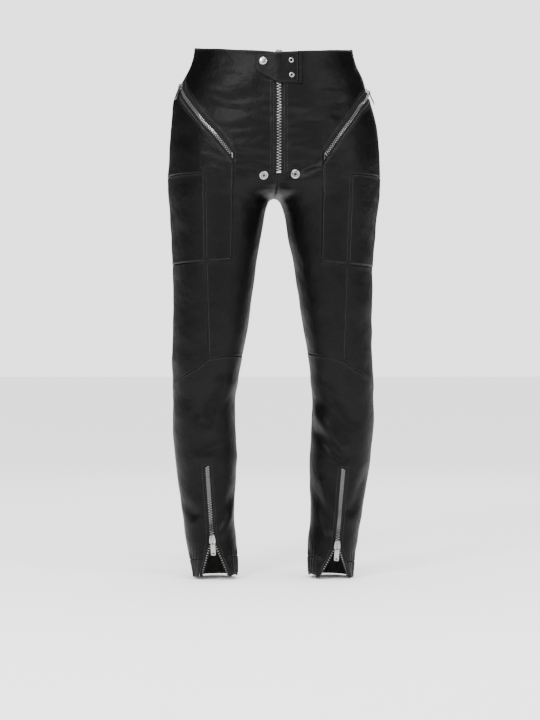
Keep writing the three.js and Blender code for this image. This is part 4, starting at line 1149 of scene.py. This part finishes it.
# Front tab: two layers of leather sewn together, closed over the head of the zip.
TAB_THICK = 2.2
TAB_CLEAR = 1.0
TAB_LIFT = 3.2
TAB_LEFT, TAB_POINT, TAB_RIGHT = -42, -1, 40.4
TAB_TOPS = (-25, -20)
TAB_LOW = (-57, -81)
# middle and half width of the bulge over the slider
BULGE = (3, 16)
EYELETS = [[26.2, -37], [27.2, -65.7]]
EYELET_REACH = 2.9
# the share left when its slanting corner is off
SLANT_COSINE = 0.86


def on_front(x, z):
    """Point and normal of the front surface at each place seen from the front, by halving y."""
    section = section_at(z)
    _, _, cy, _ = leg_shape(np.where(x < 0, -1, 1), section)
    _, y = halve(np.full_like(x, -220.0), cy, 40, lambda y: inside(x, y, section) >= 0)
    return skin(np.stack([x, y, z], axis=-1))


def tab_lift(x):
    """How far the tab stands off the front: a little everywhere and more over the slider."""
    return TAB_CLEAR + TAB_LIFT * np.exp(-(((x - BULGE[0]) / BULGE[1]) ** 2))


x = np.concatenate([np.linspace(TAB_LEFT, TAB_POINT, 36), np.linspace(TAB_POINT, TAB_RIGHT, 37)[1:]])
head = TAB_TOPS[0] + (TAB_TOPS[1] - TAB_TOPS[0]) * (x - TAB_LEFT) / (TAB_RIGHT - TAB_LEFT)
slant = TAB_LOW[0] + (TAB_LOW[1] - TAB_LOW[0]) * (x - TAB_LEFT) / (TAB_POINT - TAB_LEFT)
foot = np.where(x < TAB_POINT, slant, TAB_LOW[1])
t = np.linspace(0, 1, 41)[:, None]
grid_x = np.broadcast_to(x, (41, len(x))).copy()
points, normals = on_front(grid_x, head + t * (foot - head))
rim = np.minimum.reduce([
    np.abs(grid_x - TAB_LEFT), np.abs(grid_x - TAB_RIGHT) + 4,
    t * (head - foot), (1 - t) * (head - foot) * np.where(x < TAB_POINT, SLANT_COSINE, 1),
])
roll = 0.25 * np.exp(-((rim - 3) / 1.8) ** 2) - 0.7 * np.exp(-(rim / 0.9) ** 2)
outer = points + normals * (tab_lift(grid_x) + TAB_THICK + roll)[..., None]
inner = points + normals * (tab_lift(grid_x) - roll * 0.3)[..., None]
centres = (points[1:, 1:] + points[:-1, :-1]) / 2
mask = np.all([np.hypot(centres[..., 0] - ex, centres[..., 2] - ez) > EYELET_REACH
               for ex, ez in EYELETS], axis=0)
spots, quads, kinds, used = slab(outer, inner, mask, False)
tab = add_quads("tab_leather", spots, quads, [LEATHER, SUEDE], (kinds == 1).astype(int))
store(tab, "seam", np.tile(np.exp(-rim[used] / SEAM_RUB), 2))
dress(tab, "leather", "trousers", "tab")

# The strip folded over the tab's sewn end.
TAB_EDGE = {"left": 41.6, "right": 48.4, "top": -18, "foot": -82}
STRIP_TOP, STRIP_DROP, STRIP_FOOT = 3.9, 1.3, 0.5
across, down = np.meshgrid(np.linspace(TAB_EDGE["left"], TAB_EDGE["right"], 13),
                           np.linspace(TAB_EDGE["top"], TAB_EDGE["foot"], 48))
points, normals = on_front(across, down)
u = (across - TAB_EDGE["left"]) / (TAB_EDGE["right"] - TAB_EDGE["left"])
outer = points + normals * (STRIP_TOP - STRIP_DROP * np.abs(2 * u - 1) ** 3)[..., None]
inner = points + normals * STRIP_FOOT
spots, quads, kinds, _ = slab(outer, inner, np.ones((47, 12), bool), False)
edge_strip = add_quads("tab_edge_leather", spots, quads, [LEATHER])
store(edge_strip, "seam", np.tile((np.abs(2 * u - 1) ** 4 * 0.6).ravel(), 2))
dress(edge_strip, "leather", "trousers", "tab_edge")

# Stitching: black polyester thread, a line three millimetres beside each seam and pocket edge, two
# lines along the main zip and the pocket zips, one round the tab, and the close stitches that draw
# the two halves together down the centre back.
STITCH_PITCH = 3.4
STITCH_LENGTH = 2.8
STITCH_THICK = 0.6
STITCH_FOOT = -0.35
# place along the stitch, share of its thickness, height of its top
STITCH_STATIONS = [
    (-0.5, 0.35, -0.15), (-0.36, 0.85, 0.18), (0, 1, 0.3), (0.36, 0.85, 0.18), (0.5, 0.35, -0.15),
]


def thread_finish():
    """Spun thread: near black with a twist of fine fibres."""
    finish = Finish("black_thread", Sheen_Weight=0.2)
    fibres = finish.noise(2400, 3, 0.6)
    finish.set(Base_Color=finish.mix(fibres, (0.004, 0.004, 0.004), (0.018, 0.018, 0.018)))
    finish.set(Roughness=0.55 + fibres * 0.3, Normal=finish.bump(fibres, 0.0001, 0.5))
    return finish.material


THREAD = thread_finish()


def stitch():
    """One stitch lying along y: five four-cornered sections, sunk into the leather at both ends."""
    shape = np.array([
        (u * width * STITCH_THICK, y * STITCH_LENGTH, top if high else STITCH_FOOT)
        for y, width, top in STITCH_STATIONS for u, high in ((-0.5, 0), (-0.3, 1), (0.3, 1), (0.5, 0))
    ])
    return loft(shape, 4, [[3, 2, 1, 0], [16, 17, 18, 19]])


def sew(points, normals, pitch=STITCH_PITCH):
    """Stitches along a line that lies on the leather's face."""
    places = np.arange(pitch, run_of(points)[-1] - pitch, pitch)
    spot, ahead, up, side = along_path(points, normals, places)
    return repeat(*stitch(), spot, side, ahead, up)


def add_stitching(name, lines):
    points, quads = join([sew(*line) for line in lines])
    dress(add_quads(name, points, quads, [THREAD], crease=1.2), "tape", "trousers")


# A seam is named if it runs round the leg and numbered, from the front, if it runs down it. Each row:
# the seam and how many mesh lines beside it the stitches lie, and the same for where they start and
# where they end.
STITCH_LINES = [
    ["waist", 3, 1, 3, 5, -3],
    ["waist", 3, 5, 3, 6, -3],
    [1, 2, "waist", 3, "pocket_top", -2],
    [1, 5, "waist", 3, "pocket_top", -2],
    ["slot_top", -2, 2, -3, 5, -3],
    ["slot_top", -5, 2, -3, 5, -3],
    ["slot_foot", 2, 2, 3, 5, -3],
    ["slot_foot", 5, 2, 3, 5, -3],
    [2, -3, "slot_top", -2, "slot_foot", 0],
    [2, 3, "slot_foot", 5, "pocket_foot", -3],
    ["pocket_foot", -3, 2, 3, 3, -3],
    [3, -3, "pocket_top", 3, "pocket_foot", -3],
    ["pocket_top", 3, 3, 3, 5, -3],
    [3, 3, "pocket_top", 3, "pocket_foot", -3],
    ["pocket_foot", -3, 3, 3, 5, -3],
    [3, -3, "pocket_foot", 3, "knee", -3],
    ["knee", 3, 0, 3, 5, -3],
    ["knee", 3, 5, 3, 6, -3],
    ["pocket_foot", 3, 5, 3, 6, -3],
    [5, 3, "waist", 3, "pocket_foot", -3],
    [5, 3, "pocket_foot", 3, "knee", -3],
    [5, 3, "knee", 3, "cuff", -3],
    [6, -3, "waist", 3, "crotch", -3],
    [0, 3, "pocket_top", 3, "crotch", -3],
    [0, 3, "crotch", 3, "knee", -3],
    [0, 3, "knee", 3, "cuff", -3],
    [3, -3, "ankle_slot", -3, "cuff", -3],
    [4, 3, "ankle_slot", -3, "cuff", -3],
    ["ankle_slot", -3, 3, -3, 4, 3],
    ["cuff", 3, 0, 3, 3, -3],
    ["cuff", 3, 4, 3, 6, -3],
    ["hem", -4, 0, 3, 3, -3],
    ["hem", -4, 4, 3, 6, -3],
]
for leg in legs:
    lines = {**leg["rows"], **dict(enumerate(leg["columns"]))}
    paths = []
    for seam, off, first, first_off, last, last_off in STITCH_LINES:
        span = slice(lines[first] + first_off, lines[last] + last_off + 1)
        line = lines[seam] + off
        spot = (line, span) if isinstance(seam, str) else (span, line)
        paths.append((leg["placed"][spot], leg["normals"][spot]))
    add_stitching(f"stitching_{leg['name']}", paths)

centre = slice(legs[0]["rows"]["waist"], legs[0]["rows"]["crotch"] + 1)
valley = legs[0]["shape"][centre, -1] - legs[0]["normals"][centre, -1] * SEAM_DIP
add_stitching("stitching_centre_back", [(valley, legs[0]["normals"][centre, -1], STITCH_LENGTH * 0.6)])

corners = [
    (TAB_LEFT + 3, -28), (TAB_RIGHT - 2, -23), (TAB_RIGHT - 2, TAB_LOW[1] + 3),
    (TAB_POINT + 1, TAB_LOW[1] + 3), (TAB_LEFT + 3, TAB_LOW[0] + 1), (TAB_LEFT + 3, -28),
]
tab_lines = []
for (x0, z0), (x1, z1) in zip(corners, corners[1:]):
    t = np.linspace(0, 1, 24)
    x_line = x0 + t * (x1 - x0)
    spots, up = on_front(x_line, z0 + t * (z1 - z0))
    tab_lines.append((spots + up * (tab_lift(x_line) + TAB_THICK)[:, None], up))
add_stitching("stitching_tab", tab_lines)

# Floor, light and camera: a plain pale floor, a white studio, soft lamps from the front, above and
# behind, and the camera where the photograph was taken from.
FLOOR_LEFT, FLOOR_RIGHT, FLOOR_NEAR, FLOOR_FAR, FLOOR_GAP = -30, 30, -12, 48, 0.001
floor_mesh = bpy.data.meshes.new("floor")
low = float(cad_box[0][2]) - FLOOR_GAP
floor_mesh.from_pydata([
    (FLOOR_LEFT, FLOOR_NEAR, low), (FLOOR_RIGHT, FLOOR_NEAR, low),
    (FLOOR_RIGHT, FLOOR_FAR, low), (FLOOR_LEFT, FLOOR_FAR, low),
], [], [(0, 1, 2, 3)])
floor = add_object("floor", floor_mesh)
paper = Finish("pale_floor", Roughness=0.9)
paper.set(Base_Color=paper.mix(paper.noise(0.6, 1), (0.86, 0.86, 0.86), (0.88, 0.88, 0.88)))
floor_mesh.materials.append(paper.material)

# The studio is white. What shines in the leather and the metal is a dimmer tone, least from behind.
SKY, FRONT_GLOSS, BACK_GLOSS = 2.5, 0.20, 0.02
world = bpy.data.worlds.new("studio")
world.use_nodes = True
sky = world.node_tree.nodes["Background"]
sky.inputs["Color"].default_value = (1, 1, 1, 1)
tree = world.node_tree
way = add_node(tree, "ShaderNodeTexCoord", {}, {}, "Generated")
ahead = add_node(tree, "ShaderNodeSeparateXYZ", {}, {"Vector": way}, "Y")
gloss = add_node(tree, "ShaderNodeMapRange", {}, {
    "Value": ahead, "From Min": -0.9, "From Max": 0.1, "To Min": FRONT_GLOSS, "To Max": BACK_GLOSS,
})
shining = add_node(tree, "ShaderNodeLightPath", {}, {}, "Is Glossy Ray")
strength = add_node(tree, "ShaderNodeMapRange", {}, {"Value": shining, "To Min": SKY, "To Max": gloss})
tree.links.new(strength.socket, sky.inputs["Strength"])
bpy.context.scene.world = world


# name, place, aim, width and height, power
LAMPS = [
    ("key", (-1.1, -2.1, 1.1), (0, 0, -0.05), (0.5, 0.8), 66),
    ("fill", (1.9, -2.0, 0.7), (0, 0, 0.0), (0.5, 0.8), 36),
    ("top", (0.1, -1.5, 1.9), (0, 0, 0.0), (1.0, 0.6), 40),
    ("back", (0.6, 3.0, 1.2), (0, 0, -0.5), (1.8, 2.2), 25),
]
for name, place, aim, size, power in LAMPS:
    light = bpy.data.lights.new(name, "AREA")
    light.shape = "RECTANGLE"
    light.size, light.size_y = size
    light.energy = power
    lamp = add_object(name, light)
    lamp.location = place
    lamp.rotation_euler = (Vector(aim) - Vector(place)).to_track_quat("-Z", "Y").to_euler()

# The camera looks at knee height, from a little on the right leg's side: millimetres of film, focal
# length and picture height in the picture's points, metres, degrees.
FILM, FOCAL, PICTURE = 24, 2000, 720
EYE_FAR, EYE_HEIGHT, EYE_SHIFT, EYE_TURN = 4, -0.62, -0.0086, -3
camera = bpy.data.cameras.new("camera")
camera.sensor_fit = "VERTICAL"
camera.sensor_height = FILM
camera.lens = FILM * FOCAL / PICTURE
eye = add_object("camera", camera)
turn = np.radians(EYE_TURN)
eye.location = (EYE_SHIFT + EYE_FAR * np.sin(turn), -EYE_FAR * np.cos(turn), EYE_HEIGHT)
eye.rotation_euler = (np.pi / 2, 0, turn)
bpy.context.scene.camera = eye
